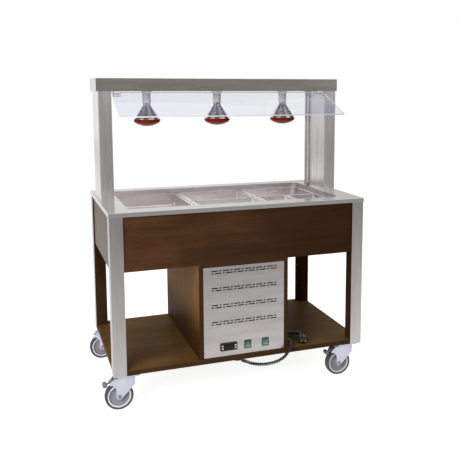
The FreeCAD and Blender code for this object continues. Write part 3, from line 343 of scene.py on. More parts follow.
def food_pan(size):
    node = "food_pan_" + size
    low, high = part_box(node)
    centre = (low + high) / 2
    half = (high - low) / 2
    bm = bmesh.new()
    flat = Matrix.Translation((centre.x, centre.y, high.z)) @ Matrix.Diagonal((half.x, half.y, 1, 1))
    bmesh.ops.create_grid(bm, x_segments=1, y_segments=1, size=1.0, matrix=flat)
    bmesh.ops.bevel(
        bm, geom=bm.verts[:], offset=PAN_CORNER, offset_type="OFFSET", segments=PAN_CORNER_STEPS,
        profile=0.5, affect="VERTICES", material=-1,
    )
    rim_edge = [edge for edge in bm.edges if edge.is_boundary]
    mouth = bm.faces[:]
    bmesh.ops.inset_region(bm, faces=mouth, thickness=PAN_RIM, use_even_offset=True)
    bead = corners_of(bmesh.ops.extrude_edge_only(bm, edges=rim_edge))
    bmesh.ops.translate(bm, verts=bead, vec=(0, 0, -PAN_BEAD))
    sunk = corners_of(bmesh.ops.extrude_face_region(bm, geom=mouth))
    bmesh.ops.delete(bm, geom=mouth, context="FACES_ONLY")
    bmesh.ops.translate(bm, verts=sunk, vec=(0, 0, low.z + PAN_SHEET - high.z))
    bmesh.ops.scale(
        bm, verts=sunk, vec=(1 - PAN_TAPER / (half.x - PAN_RIM), 1 - PAN_TAPER / (half.y - PAN_RIM), 1),
        space=Matrix.Translation(-centre),
    )
    floor = next(face for face in bm.faces if all(v.co.z < low.z + PAN_ROUND for v in face.verts))
    bevel(bm, floor.edges[:], PAN_ROUND, PAN_ROUND_STEPS)
    bmesh.ops.recalc_face_normals(bm, faces=bm.faces)
    if not floor_looks_up(bm):
        bmesh.ops.reverse_faces(bm, faces=bm.faces)
    pan = piece("pan_" + size, bm, "pan_" + size, "pan_steel", pan_steel)
    sheet = pan.modifiers.new("sheet", "SOLIDIFY")
    sheet.thickness = PAN_SHEET
    sheet.offset = -1
    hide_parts(node)


for pan_size in PAN_SIZES:
    food_pan(pan_size)

# Heating element, probe and contactor: a heat-darkened tube on the tank floor with a sensor clipped
# below it, and a moulded relay block on the shelf inside the cabinet.
ELEMENT_COLOUR = (0.20, 0.175, 0.155, 1)
CONTACTOR_COLOUR = (0.30, 0.31, 0.32, 1)
PIMPLES = (420, 1)  # per metre, and as long as they are wide
PIMPLE_DEPTH = 0.0003
WEAR = (24, 1)


def moulded(name, colour, roughness, coat=0.0, gloss=0.5):
    """Moulded plastic or rubber: a fine grain in the skin, and a little wear in tone and gloss."""
    finish, shade = material(name)
    pimples = shade.noise(PIMPLES, detail=2.0)
    wear = shade.noise(WEAR, detail=3.0)
    shade.surface({
        "Base Color": shade.mix(wear, shaded(colour, 0.82), shaded(colour, 1.16)),
        "Roughness": roughness - 0.05 + 0.1 * wear,
        "Normal": shade.bump(pimples, strength=0.08, depth=PIMPLE_DEPTH),
        "Specular IOR Level": gloss,
        "Coat Weight": coat,
        "Coat Roughness": 0.12,
    })
    return finish


dress(
    steel("element_steel", ELEMENT_COLOUR, roughness=0.45, brush=Y),
    "heating_element", "temperature_probe",
)
dress(moulded("contactor_plastic", CONTACTOR_COLOUR, roughness=0.45), "contactor")

# Control panel: stainless sheet with folded edges, brushed along its width, slotted for cooling air and
# cut out for the controls. It slides between the cabinet sides.
PANEL_COLOUR = (0.58, 0.545, 0.535, 1)
SLOT_PAINTED_SHADE = (0.07, 0.065, 0.064, 1)  # painted shade: faces that look up or down, the cut faces of the slots among them, are near black
# Painted shade: the slots' cut faces are near black.
dress(
    steel("panel_steel", PANEL_COLOUR, roughness=0.32, brush=X, along=(Z, SLOT_PAINTED_SHADE)),
    "control_panel",
)

# Thermostat: a black snap-in housing with a smoked window over its blank display, and four white push
# buttons beside the window.
HOUSING_BLACK = (0.013, 0.014, 0.012, 1)
WINDOW_SMOKE = (0.006, 0.004, 0.005, 1)
BUTTON_WHITE = (0.74, 0.74, 0.72, 1)
BUTTONS = ("upper_left", "lower_left", "upper_right", "lower_right")
WINDOW_WIDE = 0.0396
WINDOW_HIGH = 0.0196
WINDOW_THICK = 0.0011
WINDOW_ARRIS = 0.0003
WINDOW_SUNK = 0.0014  # front of the window behind the bezel
dress(moulded("housing_plastic", HOUSING_BLACK, roughness=0.42, gloss=0.2), "thermostat")
dress(
    moulded("button_plastic", BUTTON_WHITE, roughness=0.4),
    *["thermostat_button_" + place for place in BUTTONS],
)


def thermostat_window():
    low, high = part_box("thermostat")
    depth = low.y + WINDOW_SUNK - WINDOW_THICK / 2
    bm = bmesh.new()
    bmesh.ops.create_cube(bm, size=1.0)
    bmesh.ops.scale(bm, verts=bm.verts, vec=(WINDOW_WIDE, WINDOW_THICK, WINDOW_HIGH))
    bmesh.ops.translate(bm, verts=bm.verts, vec=((low.x + high.x) / 2, depth, (low.z + high.z) / 2))
    bevel(bm, bm.edges[:], WINDOW_ARRIS, segments=2)
    smoke = moulded("window_smoke", WINDOW_SMOKE, roughness=0.2, gloss=0.3)
    piece("thermostat_window", bm, "cart", "thermostat_black", smoke)


thermostat_window()

# Rocker switches: two snap-in frames of dark green plastic with clear green rockers, each rocking on a
# cross pin. The rockers have a painted highlight on their lower half and a faint painted glow.
FRAME_GREEN = (0.012, 0.038, 0.028, 1)
ROCKER_GREEN = (0.055, 0.150, 0.105, 1)
# painted glow in the rockers
ROCKER_PAINTED_GLOW = (0.03, 0.20, 0.11, 1)
ROCKER_PAINTED_HIGHLIGHT = (0.22, 0.33, 0.27, 1)  # painted highlight on the lower half of each rocker
ROCKER_CLOUDS = (60, 1)
dress(moulded("switch_plastic", FRAME_GREEN, roughness=0.32, coat=0.3), "switch_frames")


def rocker_plastic():
    """Clear green plastic, cloudy in its depth, with a painted highlight towards its foot and a faint
    painted glow.
    """
    finish, shade = material("rocker_plastic")
    clouds = shade.noise(ROCKER_CLOUDS, detail=2.0)
    green = shade.mix(clouds, shaded(ROCKER_GREEN, 0.75), shaded(ROCKER_GREEN, 1.35))
    low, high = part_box("rocker_left")
    height = shade.part(shade.coordinates(), Z)
    # Painted highlight: the lower half of each rocker is lighter.
    lens = shade.spread(height, (low.z + high.z) / 2, low.z + (high.z - low.z) / 5)
    shade.surface({
        "Base Color": shade.mix(lens, green, ROCKER_PAINTED_HIGHLIGHT),
        "Roughness": 0.14 + 0.08 * clouds,
        # painted glow over the whole rocker
        "Emission Color": shade.mix(clouds, shaded(ROCKER_PAINTED_GLOW, 0.3), ROCKER_PAINTED_GLOW),
        "Emission Strength": 0.1,
        "Coat Weight": 0.5,
        "Coat Roughness": 0.06,
    })
    return finish


dress(rocker_plastic(), "rocker_left", "rocker_right")

# Gantry: two stainless box posts standing on the worktop carry a folded box beam with a bottom plate,
# and a slim bright conduit beside the right post takes the lamp cables up.
BEAM_COLOUR = (0.49, 0.44, 0.395, 1)
END_PAINTED_REFLECTION = (0.74, 0.73, 0.715, 1)  # painted reflection: end plates of the beam, lighter than its front
POST_COLOUR = (0.87, 0.845, 0.825, 1)
CONDUIT_COLOUR = (0.78, 0.78, 0.78, 1)
# Painted reflection: the end faces of the beam are lighter.
dress(
    steel("beam_steel", BEAM_COLOUR, roughness=0.26, brush=X, along=(X, END_PAINTED_REFLECTION)),
    "gantry_beam", "beam_bottom_plate",
)
dress(
    steel("post_steel", POST_COLOUR, roughness=0.24, brush=Z),
    "gantry_post_left", "gantry_post_right",
)
dress(
    steel("bright_steel", CONDUIT_COLOUR, roughness=0.14, brush=Z, contrast=0.06),
    "cable_conduit",
)

# Infrared lamps: a glazed porcelain socket under the beam holds each bulb by its screw cap. The bulb is
# one blown glass, silvered behind, with a red domed front. The silver carries painted reflections: dark
# and bright bands round each bulb, and mottle.
LAMP_SEGMENTS = 72
SOCKET_COLOUR = (0.93, 0.92, 0.89, 1)
SILVER_COLOUR = (0.66, 0.61, 0.565, 1)
RED_COLOUR = (0.20, 0.011, 0.004, 1)
GLAZE_CLOUDS = (40, 1)
# Painted reflections on the silver: mottle, and dark and bright bands round each bulb.
REFLECTION_MOTTLE = (70, 3)
REFLECTION_BANDS = 8
REFLECTION_BAND_TURN = 0.6
FLANGE_RADIUS = 0.025
FLANGE_EDGE = 0.007
FLANGE_DEPTH = 0.014
SOCKET_RADIUS = 0.020
SOCKET_ARRIS = 0.001
GROOVE = 0.0012
NECK_RADIUS = 0.0185
COLLAR = 0.008
FLARE = 0.009
BULB_RADIUS = 0.063
BELLY = 0.009
RIM_BAND = 0.006
RIM_ROUND = 0.014


def arc(centre, radius, first, last, steps):
    """Points (radius, height) of an arc in an outline, by its angles in degrees."""
    turns = [math.radians(first + (last - first) * i / steps) for i in range(steps + 1)]
    return [(centre[0] + radius * math.cos(a), centre[1] + radius * math.sin(a)) for a in turns]


def turned(bm, outline, centre, axis, segments):
    """Spins an outline of (radius, distance along the axis) points about an axis through centre."""
    along = Vector(axis).normalized()
    out = along.orthogonal().normalized()
    centre = Vector(centre)
    ring = [bm.verts.new(centre + along * height + out * radius) for radius, height in outline]
    line = [bm.edges.new(pair) for pair in zip(ring, ring[1:])]
    before = set(bm.faces)
    bmesh.ops.spin(
        bm, geom=ring + line, cent=centre, axis=along, angle=2 * math.pi, steps=segments, use_merge=True,
    )
    made = [face for face in bm.faces if face not in before]
    verts = list({vert for face in made for vert in face.verts})
    bmesh.ops.remove_doubles(bm, verts=verts, dist=1e-6)
    made = [face for face in bm.faces if face not in before]
    bmesh.ops.recalc_face_normals(bm, faces=made)
    return made


def glazed(name, colour, roughness, mottle, coat=0.8, gloss=0.5):
    """Glass or glaze: one clear colour with slight clouds under a hard gloss."""
    finish, shade = material(name)
    clouds = shade.noise(GLAZE_CLOUDS, detail=3.0)
    shade.surface({
        "Base Color": shade.mix(clouds, shaded(colour, 1 - mottle), shaded(colour, 1 + mottle)),
        "Roughness": roughness + 0.06 * clouds,
        "Specular IOR Level": gloss,
        "Coat Weight": coat,
        "Coat Roughness": 0.05,
    })
    return finish


def silvered(name, colour, pitch, y):
    """A mirror coat on bulbs in a row along x at this pitch, with painted reflections: dark and bright
    bands round each, and mottle.
    """
    finish, shade = material(name)
    across, depth = [shade.part(shade.coordinates(), axis) for axis in (X, Y)]
    off_axis = across.math("WRAP", pitch / 2, -pitch / 2)
    turn = (depth - y).math("ARCTAN2", off_axis)
    waves = (turn * REFLECTION_BANDS + REFLECTION_BAND_TURN).math("SINE")
    reflection_noise = shade.noise(REFLECTION_MOTTLE, detail=4.0, axis=Z)
    # Painted reflection: bands round each bulb and mottle, in the silver's colour.
    painted_reflection = shade.spread(0.28 * waves + reflection_noise, 0.3, 0.72)
    shade.surface({
        "Base Color": shade.mix(painted_reflection, shaded(colour, 0.3), shaded(colour, 1.45)),
        "Roughness": 0.04 + 0.08 * reflection_noise,
        "Metallic": 1.0,
        "Coat Weight": 0.4,
        "Coat Roughness": 0.08,
    })
    return finish


def socket_outline(ceiling, foot):
    groove = (ceiling + foot) / 2
    return [
        (0, ceiling), (FLANGE_RADIUS, ceiling), (FLANGE_RADIUS, ceiling - FLANGE_EDGE),
        (SOCKET_RADIUS, ceiling - FLANGE_DEPTH), (SOCKET_RADIUS, groove + GROOVE),
        (SOCKET_RADIUS - GROOVE, groove), (SOCKET_RADIUS, groove - GROOVE),
        (SOCKET_RADIUS, foot + SOCKET_ARRIS), (SOCKET_RADIUS - SOCKET_ARRIS, foot), (0, foot),
    ]


def bell_outline(foot, rim):
    """The silvered part: a straight cone that touches the flare at its neck and the belly at its rim."""
    waist = foot - COLLAR
    cone = waist - rim
    rounds = FLARE + BELLY
    lean = rounds - BULB_RADIUS + NECK_RADIUS
    slope = math.degrees(math.asin(rounds / math.hypot(cone, lean)) - math.atan2(lean, cone))
    return (
        [(0, foot), (NECK_RADIUS, foot)]
        + arc((NECK_RADIUS + FLARE, waist), FLARE, 180, 180 + slope, steps=8)
        + arc((BULB_RADIUS - BELLY, rim), BELLY, slope, 0, steps=10)
        + [(0, rim)]
    )


def front_outline(rim, tip):
    """The red part: a narrow band, a round edge and a shallow crown that goes on from it."""
    band = rim - RIM_BAND
    edge_radius = BULB_RADIUS - RIM_ROUND
    rise = band - tip - RIM_ROUND
    turn = 90 - 2 * math.degrees(math.atan2(rise, edge_radius))
    crown = edge_radius / math.cos(math.radians(turn))
    crown_centre = band + edge_radius * math.tan(math.radians(turn))
    return (
        [(0, rim), (BULB_RADIUS, rim)]
        + arc((edge_radius, band), RIM_ROUND, 0, -turn, steps=8)
        + arc((0, crown_centre), RIM_ROUND + crown, -turn, -90, steps=12)[1:-1]
        + [(0, tip)]
    )


def lamps():
    low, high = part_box("lamp_sockets")
    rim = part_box("lamp_reflectors")[0].z
    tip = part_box("lamp_fronts")[0].z
    y = (low.y + high.y) / 2
    places = [low.x + FLANGE_RADIUS, (low.x + high.x) / 2, high.x - FLANGE_RADIUS]
    porcelain = glazed("socket_glaze", SOCKET_COLOUR, roughness=0.12, mottle=0.06, coat=0.5)
    silver = silvered("bulb_silver", SILVER_COLOUR, places[1] - places[0], y)
    red = glazed("bulb_red_glass", RED_COLOUR, roughness=0.2, mottle=0.25, coat=0.04, gloss=0.12)
    parts = (
        ("lamp_sockets", socket_outline(high.z, low.z), "socket_white", porcelain),
        ("lamp_reflectors", bell_outline(low.z, rim), "bulb_silver", silver),
        ("lamp_fronts", front_outline(rim, tip), "bulb_red", red),
    )
    for node, outline, slot, finish in parts:
        bm = bmesh.new()
        for x in places:
            turned(bm, outline, (x, y, 0), (0, 0, 1), LAMP_SEGMENTS)
        made = piece("three_" + node, bm, "cart", slot, finish, crease=35)
        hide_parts(node)


lamps()

# Glass guard: a pane of float glass with polished edges, sloping forward under the beam, gripped along
# its upper edge by a satin clamp at each end.
GLASS_REACH = 0.240
GLASS_DROP = 0.104
GLASS_THICK = 0.006
GLASS_ARRIS = 0.0008
GLASS_COLOUR = (0.06, 0.085, 0.36, 1)
GLASS_EDGE = (0.80, 0.84, 0.90, 1)
CLAMP_COLOUR = (0.92, 0.92, 0.93, 1)
WIPING_MARKS = (7, 3)


def guard_glass():
    """Clear glass with a lavender cast and a light film of wiping marks."""
    finish, shade = material("guard_glass")
    film = shade.noise(WIPING_MARKS, detail=4.0, axis=X)
    shade.surface({
        "Base Color": shade.mix(film, shaded(GLASS_COLOUR, 0.95), GLASS_COLOUR),
        "Roughness": 0.03 + 0.04 * film,
        "Alpha": 0.12 + 0.05 * film,
        "Coat Weight": 1.0,
        "Coat Roughness": 0.02,
    })
    return finish


def glass_guard():
    low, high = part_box("glass_guard")
    slope = math.atan2(GLASS_DROP, GLASS_REACH)
    size = (high.x - low.x, math.hypot(GLASS_REACH, GLASS_DROP), GLASS_THICK)
    bm = bmesh.new()
    bmesh.ops.create_cube(bm, size=1.0)
    bmesh.ops.scale(bm, verts=bm.verts, vec=size)
    bevel(bm, bm.edges[:], GLASS_ARRIS, segments=2)
    bm.normal_update()
    for face in bm.faces:
        face.material_index = 0 if abs(face.normal.z) > 0.9 else 1
    place = Matrix.Translation((low + high) / 2) @ Matrix.Rotation(slope, 4, "X")
    bmesh.ops.transform(bm, verts=bm.verts, matrix=place)
    edge = glazed("glass_edge", GLASS_EDGE, roughness=0.1, mottle=0.08)
    pane = piece("guard_pane", bm, "cart", "guard_glass", guard_glass(), edge)
    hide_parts("glass_guard")


glass_guard()
dress(
    steel("clamp_steel", CLAMP_COLOUR, roughness=0.35, brush=X, contrast=0.05, metal=0.4),
    "glass_clamps",
)

# Casters: pressed and zinc-plated forks that swivel under their top plates, each with a moulded wheel
# on a bolted axle, a pale rim ring and a grey rubber tyre. The front two have a foot brake.
CORNERS = ("front_left", "front_right", "rear_left", "rear_right")
ZINC_COLOUR = (0.70, 0.71, 0.82, 1)
ZINC_CLOUDS = (55, 1)
ZINC_DEPTH = 0.0004
BOLT_COLOUR = (0.33, 0.33, 0.35, 1)
CORE_COLOUR = (0.31, 0.30, 0.355, 1)
RING_COLOUR = (0.86, 0.86, 0.88, 1)
TYRE_COLOUR = (0.072, 0.072, 0.078, 1)
PEDAL_COLOUR = (0.19, 0.19, 0.20, 1)
WHEEL_SEGMENTS = 80
WHEEL_CHAMFER = 0.001
AXLE_BORE = 0.0052
HUB_RADIUS = 0.013
HUB_HALF = 0.0185  # half widths are measured along the axle
HUB_FLARE = 0.002
HUB_FOOT = 0.019
WEB_HALF = 0.005
RIDGE = 0.0008  # raised ring on the web
RIDGE_INNER = 0.028
RIDGE_OUTER = 0.031
RIDGE_SLOPE = 0.0005
RIM_SLOPE = 0.004
RING_INNER = 0.0445
RING_OUTER = 0.0515
RING_HALF = 0.0145
RING_ARRIS = 0.0006
TYRE_LIP = 0.002
TYRE_SHOULDER = (  # its outline: below the tread, in from the side
    (0.0045, 0), (0.0024, 0.0008), (0.001, 0.0036), (0.0002, 0.008),
)
TREAD_HALF = 0.003
FORK_ROUND = 0.0009
FORK_SHARP = math.radians(40)  # edges past this angle are rounded
BOLT_REACH = 0.0095  # axle heads lie within this of the axle
BOLT_PROUD = 0.0222  # and further than this from the middle of the wheel


def plated(name, colour, roughness):
    """Zinc plate: a bright grey metal skin with soft clouds in its gloss."""
    finish, shade = material(name)
    clouds = shade.noise(ZINC_CLOUDS, detail=4.0)
    shade.surface({
        "Base Color": shade.mix(clouds, shaded(colour, 0.9), shaded(colour, 1.08)),
        "Roughness": roughness + 0.14 * clouds,
        "Metallic": 0.75,
        "Normal": shade.bump(clouds, strength=0.05, depth=ZINC_DEPTH),
    })
    return finish


zinc = plated("caster_zinc", ZINC_COLOUR, roughness=0.3)
bolt_zinc = plated("axle_zinc", BOLT_COLOUR, roughness=0.34)
core_plastic = moulded("wheel_plastic", CORE_COLOUR, roughness=0.45)
ring_plastic = moulded("rim_ring", RING_COLOUR, roughness=0.4)
tyre_rubber = moulded("tyre_rubber", TYRE_COLOUR, roughness=0.55)


def closed(half):
    """A half outline of (radius, offset) points, closed by its mirror image across the wheel."""
    return half + [(radius, -offset) for radius, offset in reversed(half)] + half[:1]


def caster_wheel(corner, axle):
    bm = bmesh.new()
    core = closed([
        (AXLE_BORE, HUB_HALF), (HUB_RADIUS - WHEEL_CHAMFER, HUB_HALF),
        (HUB_RADIUS, HUB_HALF - WHEEL_CHAMFER), (HUB_RADIUS + HUB_FLARE, WEB_HALF + HUB_FLARE),
        (HUB_FOOT, WEB_HALF), (RIDGE_INNER, WEB_HALF),
        (RIDGE_INNER + RIDGE_SLOPE, WEB_HALF + RIDGE), (RIDGE_OUTER - RIDGE_SLOPE, WEB_HALF + RIDGE),
        (RIDGE_OUTER, WEB_HALF), (RING_INNER - RIM_SLOPE, WEB_HALF + WHEEL_CHAMFER),
        (RING_INNER, RING_HALF - WHEEL_CHAMFER),
    ])
    ring = closed([
        (RING_INNER, RING_HALF - WHEEL_CHAMFER), (RING_INNER + WHEEL_CHAMFER, RING_HALF),
        (RING_OUTER - RING_ARRIS, RING_HALF), (RING_OUTER, RING_HALF - RING_ARRIS),
    ])
    for number, outline in enumerate((core, ring)):
        for face in turned(bm, outline, axle, (0, 1, 0), WHEEL_SEGMENTS):
            face.material_index = number
    wheel = piece(
        "caster_wheel_" + corner, bm, "wheel_" + corner, "wheel_grey", core_plastic, ring_plastic,
        crease=35,
    )
    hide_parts("wheel_core_" + corner)


def caster_tyre(corner, axle):
    low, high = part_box("tyre_" + corner)
    radius = (high.z - low.z) / 2
    side = (high.y - low.y) / 2
    outline = closed(
        [(RING_OUTER, side - WHEEL_CHAMFER), (RING_OUTER + TYRE_LIP, side)]
        + [(radius - below, side - inwards) for below, inwards in TYRE_SHOULDER]
        + [(radius, TREAD_HALF)]
    )
    bm = bmesh.new()
    turned(bm, outline, axle, (0, 1, 0), WHEEL_SEGMENTS)
    tyre = piece("caster_tyre_" + corner, bm, "wheel_" + corner, "tyre_rubber", tyre_rubber, crease=50)
    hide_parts("tyre_" + corner)


def pressed_fork(corner, axle):
    """A copy of the CAD fork with its sharp edges rounded and its axle heads in a darker zinc."""
    node = "caster_fork_" + corner
    bm = bmesh.new()
    bm.from_mesh(nodes[node].data)
    bmesh.ops.remove_doubles(bm, verts=bm.verts, dist=1e-5)
    bmesh.ops.dissolve_limit(bm, angle_limit=math.radians(3), verts=bm.verts, edges=bm.edges)
    sharp = [e for e in bm.edges if len(e.link_faces) == 2 and e.calc_face_angle(0) > FORK_SHARP]
    bevel(bm, sharp, FORK_ROUND, segments=2)
    fork = piece("pressed_fork_" + corner, bm, "caster_" + corner, "caster_zinc", zinc, bolt_zinc)
    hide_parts(node)
    for polygon in fork.data.polygons:
        off = polygon.center - axle
        bolted = math.hypot(off.x, off.z) < BOLT_REACH and abs(off.y) > BOLT_PROUD
        polygon.material_index = 1 if bolted else 0


for corner_name in CORNERS:
    axle_low, axle_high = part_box("wheel_core_" + corner_name)
    wheel_axle = (axle_low + axle_high) / 2
    caster_wheel(corner_name, wheel_axle)
    caster_tyre(corner_name, wheel_axle)
    pressed_fork(corner_name, wheel_axle)
dress(zinc, "caster_plates")
dress(
    moulded("pedal_plastic", PEDAL_COLOUR, roughness=0.42),
    "brake_pedal_front_left", "brake_pedal_front_right",
)

# Mains cord: a black rubber curly cord from an elbow gland under the shelf, round the cabinet's corner
# to the shelf beside it, where its round two-pin plug lies. The wire is 6 mm thick.
WIRE_DIAMETER = 0.006
CURL_DIAMETER = 0.017
CURLS = 71
CURL_POINTS = 16
CURL_LEAD = 0.012
CORD_BLACK = (0.010, 0.010, 0.0105, 1)
CORD_ROUTE = (
    (-0.0140, -0.3060, 0.1450), (0.0060, -0.3340, 0.1450), (0.0340, -0.3580, 0.1370),
    (0.0760, -0.3690, 0.1310), (0.1220, -0.3715, 0.1315), (0.1600, -0.3715, 0.1395),
    (0.1870, -0.3710, 0.1550), (0.2060, -0.3710, 0.1790), (0.2210, -0.3580, 0.1975),
    (0.2300, -0.3346, 0.2075), (0.2305, -0.3076, 0.2080), (0.2310, -0.2810, 0.2000),
    (0.2310, -0.2530, 0.1930), (0.2330, -0.2220, 0.1913), (0.2460, -0.1960, 0.1913),
    (0.2700, -0.1810, 0.1913), (0.2990, -0.1840, 0.1920), (0.3190, -0.2040, 0.1955),
    (0.3240, -0.2340, 0.2013), (0.3160, -0.2640, 0.2013),
)
RELIEF_RIBS = 5
RELIEF_MOUTH = 0.0045
RELIEF_RADII = (0.0055, 0.0115)  # at its first rib and at its foot
RELIEF_LENGTH = 0.022
RIB = ((0, 0.0006), (0.0006, 0.0026), (-0.0008, 0.0032))  # outline of a rib: outwards, along the plug
PLUG_RADIUS = 0.019
PLUG_LENGTH = 0.034
PLUG_BODY = (  # its outline: below its full radius, along the plug
    (0.0072, 0), (0.004, 0.001), (0.0012, 0.003), (0, 0.006), (0, 0.014), (0.0012, 0.016),
    (0.0012, 0.024), (0, 0.026), (0, 0.029), (0.0014, 0.0326), (0.005, PLUG_LENGTH),
    (PLUG_RADIUS, PLUG_LENGTH),
)
PLUG_SEGMENTS = 48
PIN_COLOUR = (0.66, 0.62, 0.52, 1)
PIN_RADIUS = 0.0024
PIN_LENGTH = 0.019
PIN_SPACING = 0.019
PIN_OUTLINE = (
    (0, 0), (PIN_RADIUS, 0), (PIN_RADIUS, PIN_LENGTH - 0.0015), (PIN_RADIUS - 0.001, PIN_LENGTH - 0.0003),
    (0, PIN_LENGTH),
)
PIN_SEGMENTS = 20


def smooth_curve(name, points):
    """An open NURBS curve with these control points."""
    curve = bpy.data.curves.new(name, "CURVE")
    curve.dimensions = "3D"
    spline = curve.splines.new("NURBS")
    spline.points.add(len(points) - 1)
    for knot, point in zip(spline.points, points):
        knot.co = (*point, 1)
    spline.order_u = 3
    spline.use_endpoint_u = True
    return curve


def route_line():
    """Points along the route's smooth curve."""
    curve = smooth_curve("cord_route", CORD_ROUTE)
    curve.resolution_u = 24
    guide = bpy.data.objects.new("cord_route", curve)
    mesh = bpy.data.meshes.new_from_object(guide)
    points = [vert.co.copy() for vert in mesh.vertices]
    bpy.data.objects.remove(guide)
    bpy.data.curves.remove(curve)
    bpy.data.meshes.remove(mesh)
    return points


def curls(line):
    """Points of a helix round the line, with a straight lead at each end."""
    reach = [0.0]
    for a, b in zip(line, line[1:]):
        reach.append(reach[-1] + (b - a).length)
    wound = reach[-1] - 2 * WIRE_DIAMETER
    steps = CURLS * CURL_POINTS
    normal = (line[1] - line[0]).cross(Vector((0, 0, 1))).normalized()
    points = [line[0]]
    for i in range(steps + 1):
        distance = wound * i / steps
        k = min(bisect.bisect_right(reach, distance + WIRE_DIAMETER), len(line) - 1)
        way = (line[k] - line[k - 1]).normalized()
        centre = line[k - 1] + way * (distance + WIRE_DIAMETER - reach[k - 1])
        normal = (normal - way * normal.dot(way)).normalized()
        ease = min(1.0, distance / CURL_LEAD, (wound - distance) / CURL_LEAD)
        swell = (CURL_DIAMETER - WIRE_DIAMETER) / 2 * ease * ease * (3 - 2 * ease)
        angle = 2 * math.pi * i / CURL_POINTS
        points.append(centre + (normal * math.cos(angle) + way.cross(normal) * math.sin(angle)) * swell)
    return points + [line[-1]]


cord_rubber = moulded("cord_rubber", CORD_BLACK, roughness=0.28)
cord_curve = smooth_curve("curly_cord", curls(route_line()))
cord_curve.resolution_u = 2
cord_curve.bevel_depth = WIRE_DIAMETER / 2
cord_curve.bevel_resolution = 2
cord_curve.use_fill_caps = True
cord_curve.materials.append(cord_rubber)
cord_wire = bpy.data.objects.new("curly_wire", cord_curve)
bpy.context.scene.collection.objects.link(cord_wire)
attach(cord_wire, "cart")
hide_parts("curly_cord")


def cord_plug():
    """A ribbed strain relief that widens into a round body with a sunk grip, and two brass pins."""
    end = Vector(CORD_ROUTE[-1])
    way = end - Vector(CORD_ROUTE[-2])
    way = Vector((way.x, way.y, 0)).normalized()
    across = Vector((-way.y, way.x, 0))
    outline = [(0, 0), (RELIEF_MOUTH, 0)]
    thin, thick = RELIEF_RADII
    for i in range(RELIEF_RIBS):
        share = i / RELIEF_RIBS
        radius = thin + (thick - thin) * share
        outline += [(radius + out, RELIEF_LENGTH * share + along) for out, along in RIB]
    outline += [(PLUG_RADIUS - below, RELIEF_LENGTH + along) for below, along in PLUG_BODY]
    bm = bmesh.new()
    turned(bm, outline, end, way, PLUG_SEGMENTS)
    face = end + way * (RELIEF_LENGTH + PLUG_LENGTH)
    for side in (-1, 1):
        for made in turned(bm, PIN_OUTLINE, face + across * (side * PIN_SPACING / 2), way, PIN_SEGMENTS):
            made.material_index = 1
    brass = steel("pin_brass", PIN_COLOUR, roughness=0.25, brush=X)
    plug = piece("round_plug", bm, "cart", "cord_black", cord_rubber, brass)
    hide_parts("cord_plug")
    return plug


cord_plug()
dress(moulded("gland_plastic", CORD_BLACK, roughness=0.45, gloss=0.3), "cord_gland")

# Studio: a white floor that keeps the cart's shadow, a white surround and three large soft lamps, with
# the camera where the photographer stood.
WHITE = (1, 1, 1, 1)
FLOOR_SIZE = 30.0
FLOOR_WHITE = (0.60, 0.60, 0.60, 1)
FLOOR_LIFT = 0.88  # brings the lit floor up to white where the camera sees it
FLOOR_FADE = (0.3, 4.0)  # reflections see the floor darken over this way in front of and beside the cart
FLOOR_AISLE = 0.8  # half the width of the floor that stays white behind the cart
FLOOR_DARK = 0.30
AMBIENT = 0.28
FRONT_DARK = 0.66  # how much darker the surround is near the horizon, for reflections
BACK_DARK = 0.45
RIGHT_DARK = 0.5
BACK_GAP = (0.22, 0.5)  # straight behind the cart the surround stays white, and darkens to either side
HORIZON = (0.03, 0.3)  # how far up the surround turns white again
TURN_AWAY = 1.5  # how soon each darkness fades round the cart
CAMERA_AT = (-0.9432, -3.1588, 1.3930)
CAMERA_YAW = 0.3553
CAMERA_TILT = 0.1318
CAMERA_LENS = 52.83
CAMERA_SHIFT = (-0.08, -0.11)
SOFT_LAMPS = (  # place, size, watts, and whether the steel mirrors it
    ((-2.0, -1.9, 1.8), 1.8, 72.0, False),
    ((2.8, -2.2, 2.4), 2.2, 8.0, True),
    ((0.2, 0.6, 4.2), 3.0, 50.0, True),
)
LAMP_AIM = Vector((0, 0, 0.7))


def ray_kinds(shade):
    """Masks for rays that see the background, and for reflections."""
    camera, through, glossy = [
        shade.node("ShaderNodeLightPath", {}, {}, kind)
        for kind in ("Is Camera Ray", "Is Transmission Ray", "Is Glossy Ray")
    ]
    seen = camera.math("MAXIMUM", through)
    return seen, glossy * (1 - seen)


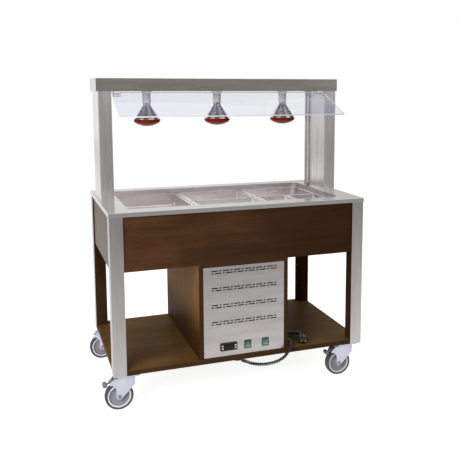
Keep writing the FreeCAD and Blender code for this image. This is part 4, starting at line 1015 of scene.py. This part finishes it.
def studio_floor():
    bm = bmesh.new()
    bmesh.ops.create_grid(bm, x_segments=1, y_segments=1, size=FLOOR_SIZE / 2)
    mesh = bpy.data.meshes.new("studio_floor")
    bm.to_mesh(mesh)
    bm.free()
    finish, shade = material("floor_white")
    seen, glossy = ray_kinds(shade)
    matt = shade.node("ShaderNodeBsdfDiffuse", {}, {"Color": FLOOR_WHITE})
    lift = shade.node("ShaderNodeEmission", {}, {"Color": WHITE, "Strength": seen * FLOOR_LIFT})
    lit = shade.node("ShaderNodeAddShader", {}, {0: matt, 1: lift})
    right, back = [shade.part(shade.coordinates(), axis) for axis in (X, Y)]
    away = (right.math("ABSOLUTE") - FLOOR_AISLE).math("MAXIMUM", back * -1.0)
    fade = 1 - (1 - FLOOR_DARK) * shade.spread(away, *FLOOR_FADE)
    reflected = shade.node("ShaderNodeEmission", {}, {"Color": WHITE, "Strength": fade})
    whole = shade.node("ShaderNodeMixShader", {}, {0: glossy, 1: lit, 2: reflected})
    shade.node("ShaderNodeOutputMaterial", {}, {"Surface": whole})
    mesh.materials.append(finish)
    floor = bpy.data.objects.new("studio_floor", mesh)
    bpy.context.scene.collection.objects.link(floor)


def studio_surround():
    world = bpy.data.worlds.new("surround")
    bpy.context.scene.world = world
    world.use_nodes = True
    shade = Shading(world.node_tree)
    seen, glossy = ray_kinds(shade)
    way = shade.coordinates("Generated")
    right, back, upward = [shade.part(way, axis) for axis in (X, Y, Z)]
    front, behind, beside = [side.math("MAXIMUM", 0.0) ** TURN_AWAY for side in (back * -1.0, back, right)]
    aside = shade.spread(right.math("ABSOLUTE"), *BACK_GAP)
    dark = FRONT_DARK * front + BACK_DARK * behind * aside + RIGHT_DARK * beside
    sheen = 1 - dark * (1 - shade.spread(upward, *HORIZON))
    strength = seen + glossy * sheen + (1 - seen - glossy) * AMBIENT
    glow = shade.node("ShaderNodeBackground", {}, {"Color": WHITE, "Strength": strength})
    shade.node("ShaderNodeOutputWorld", {}, {"Surface": glow})


def soft_lamp(i, place, size, watts, mirrored_by_steel):
    light = bpy.data.lights.new(f"soft_lamp_{i}", "AREA")
    light.energy = watts
    light.size = size
    lamp = bpy.data.objects.new(light.name, light)
    lamp.location = place
    lamp.rotation_euler = (LAMP_AIM - Vector(place)).to_track_quat("-Z", "Y").to_euler()
    lamp.visible_camera = False
    lamp.visible_glossy = mirrored_by_steel
    bpy.context.scene.collection.objects.link(lamp)


def studio_camera():
    view = bpy.data.cameras.new("camera")
    view.lens = CAMERA_LENS
    view.shift_x, view.shift_y = CAMERA_SHIFT
    camera = bpy.data.objects.new("camera", view)
    camera.location = CAMERA_AT
    camera.rotation_euler = (math.pi / 2 - CAMERA_TILT, 0, -CAMERA_YAW)
    bpy.context.scene.collection.objects.link(camera)
    bpy.context.scene.camera = camera


studio_floor()
studio_surround()
for number, lamp_values in enumerate(SOFT_LAMPS):
    soft_lamp(number, *lamp_values)
studio_camera()
bpy.context.scene.view_settings.view_transform = "Standard"
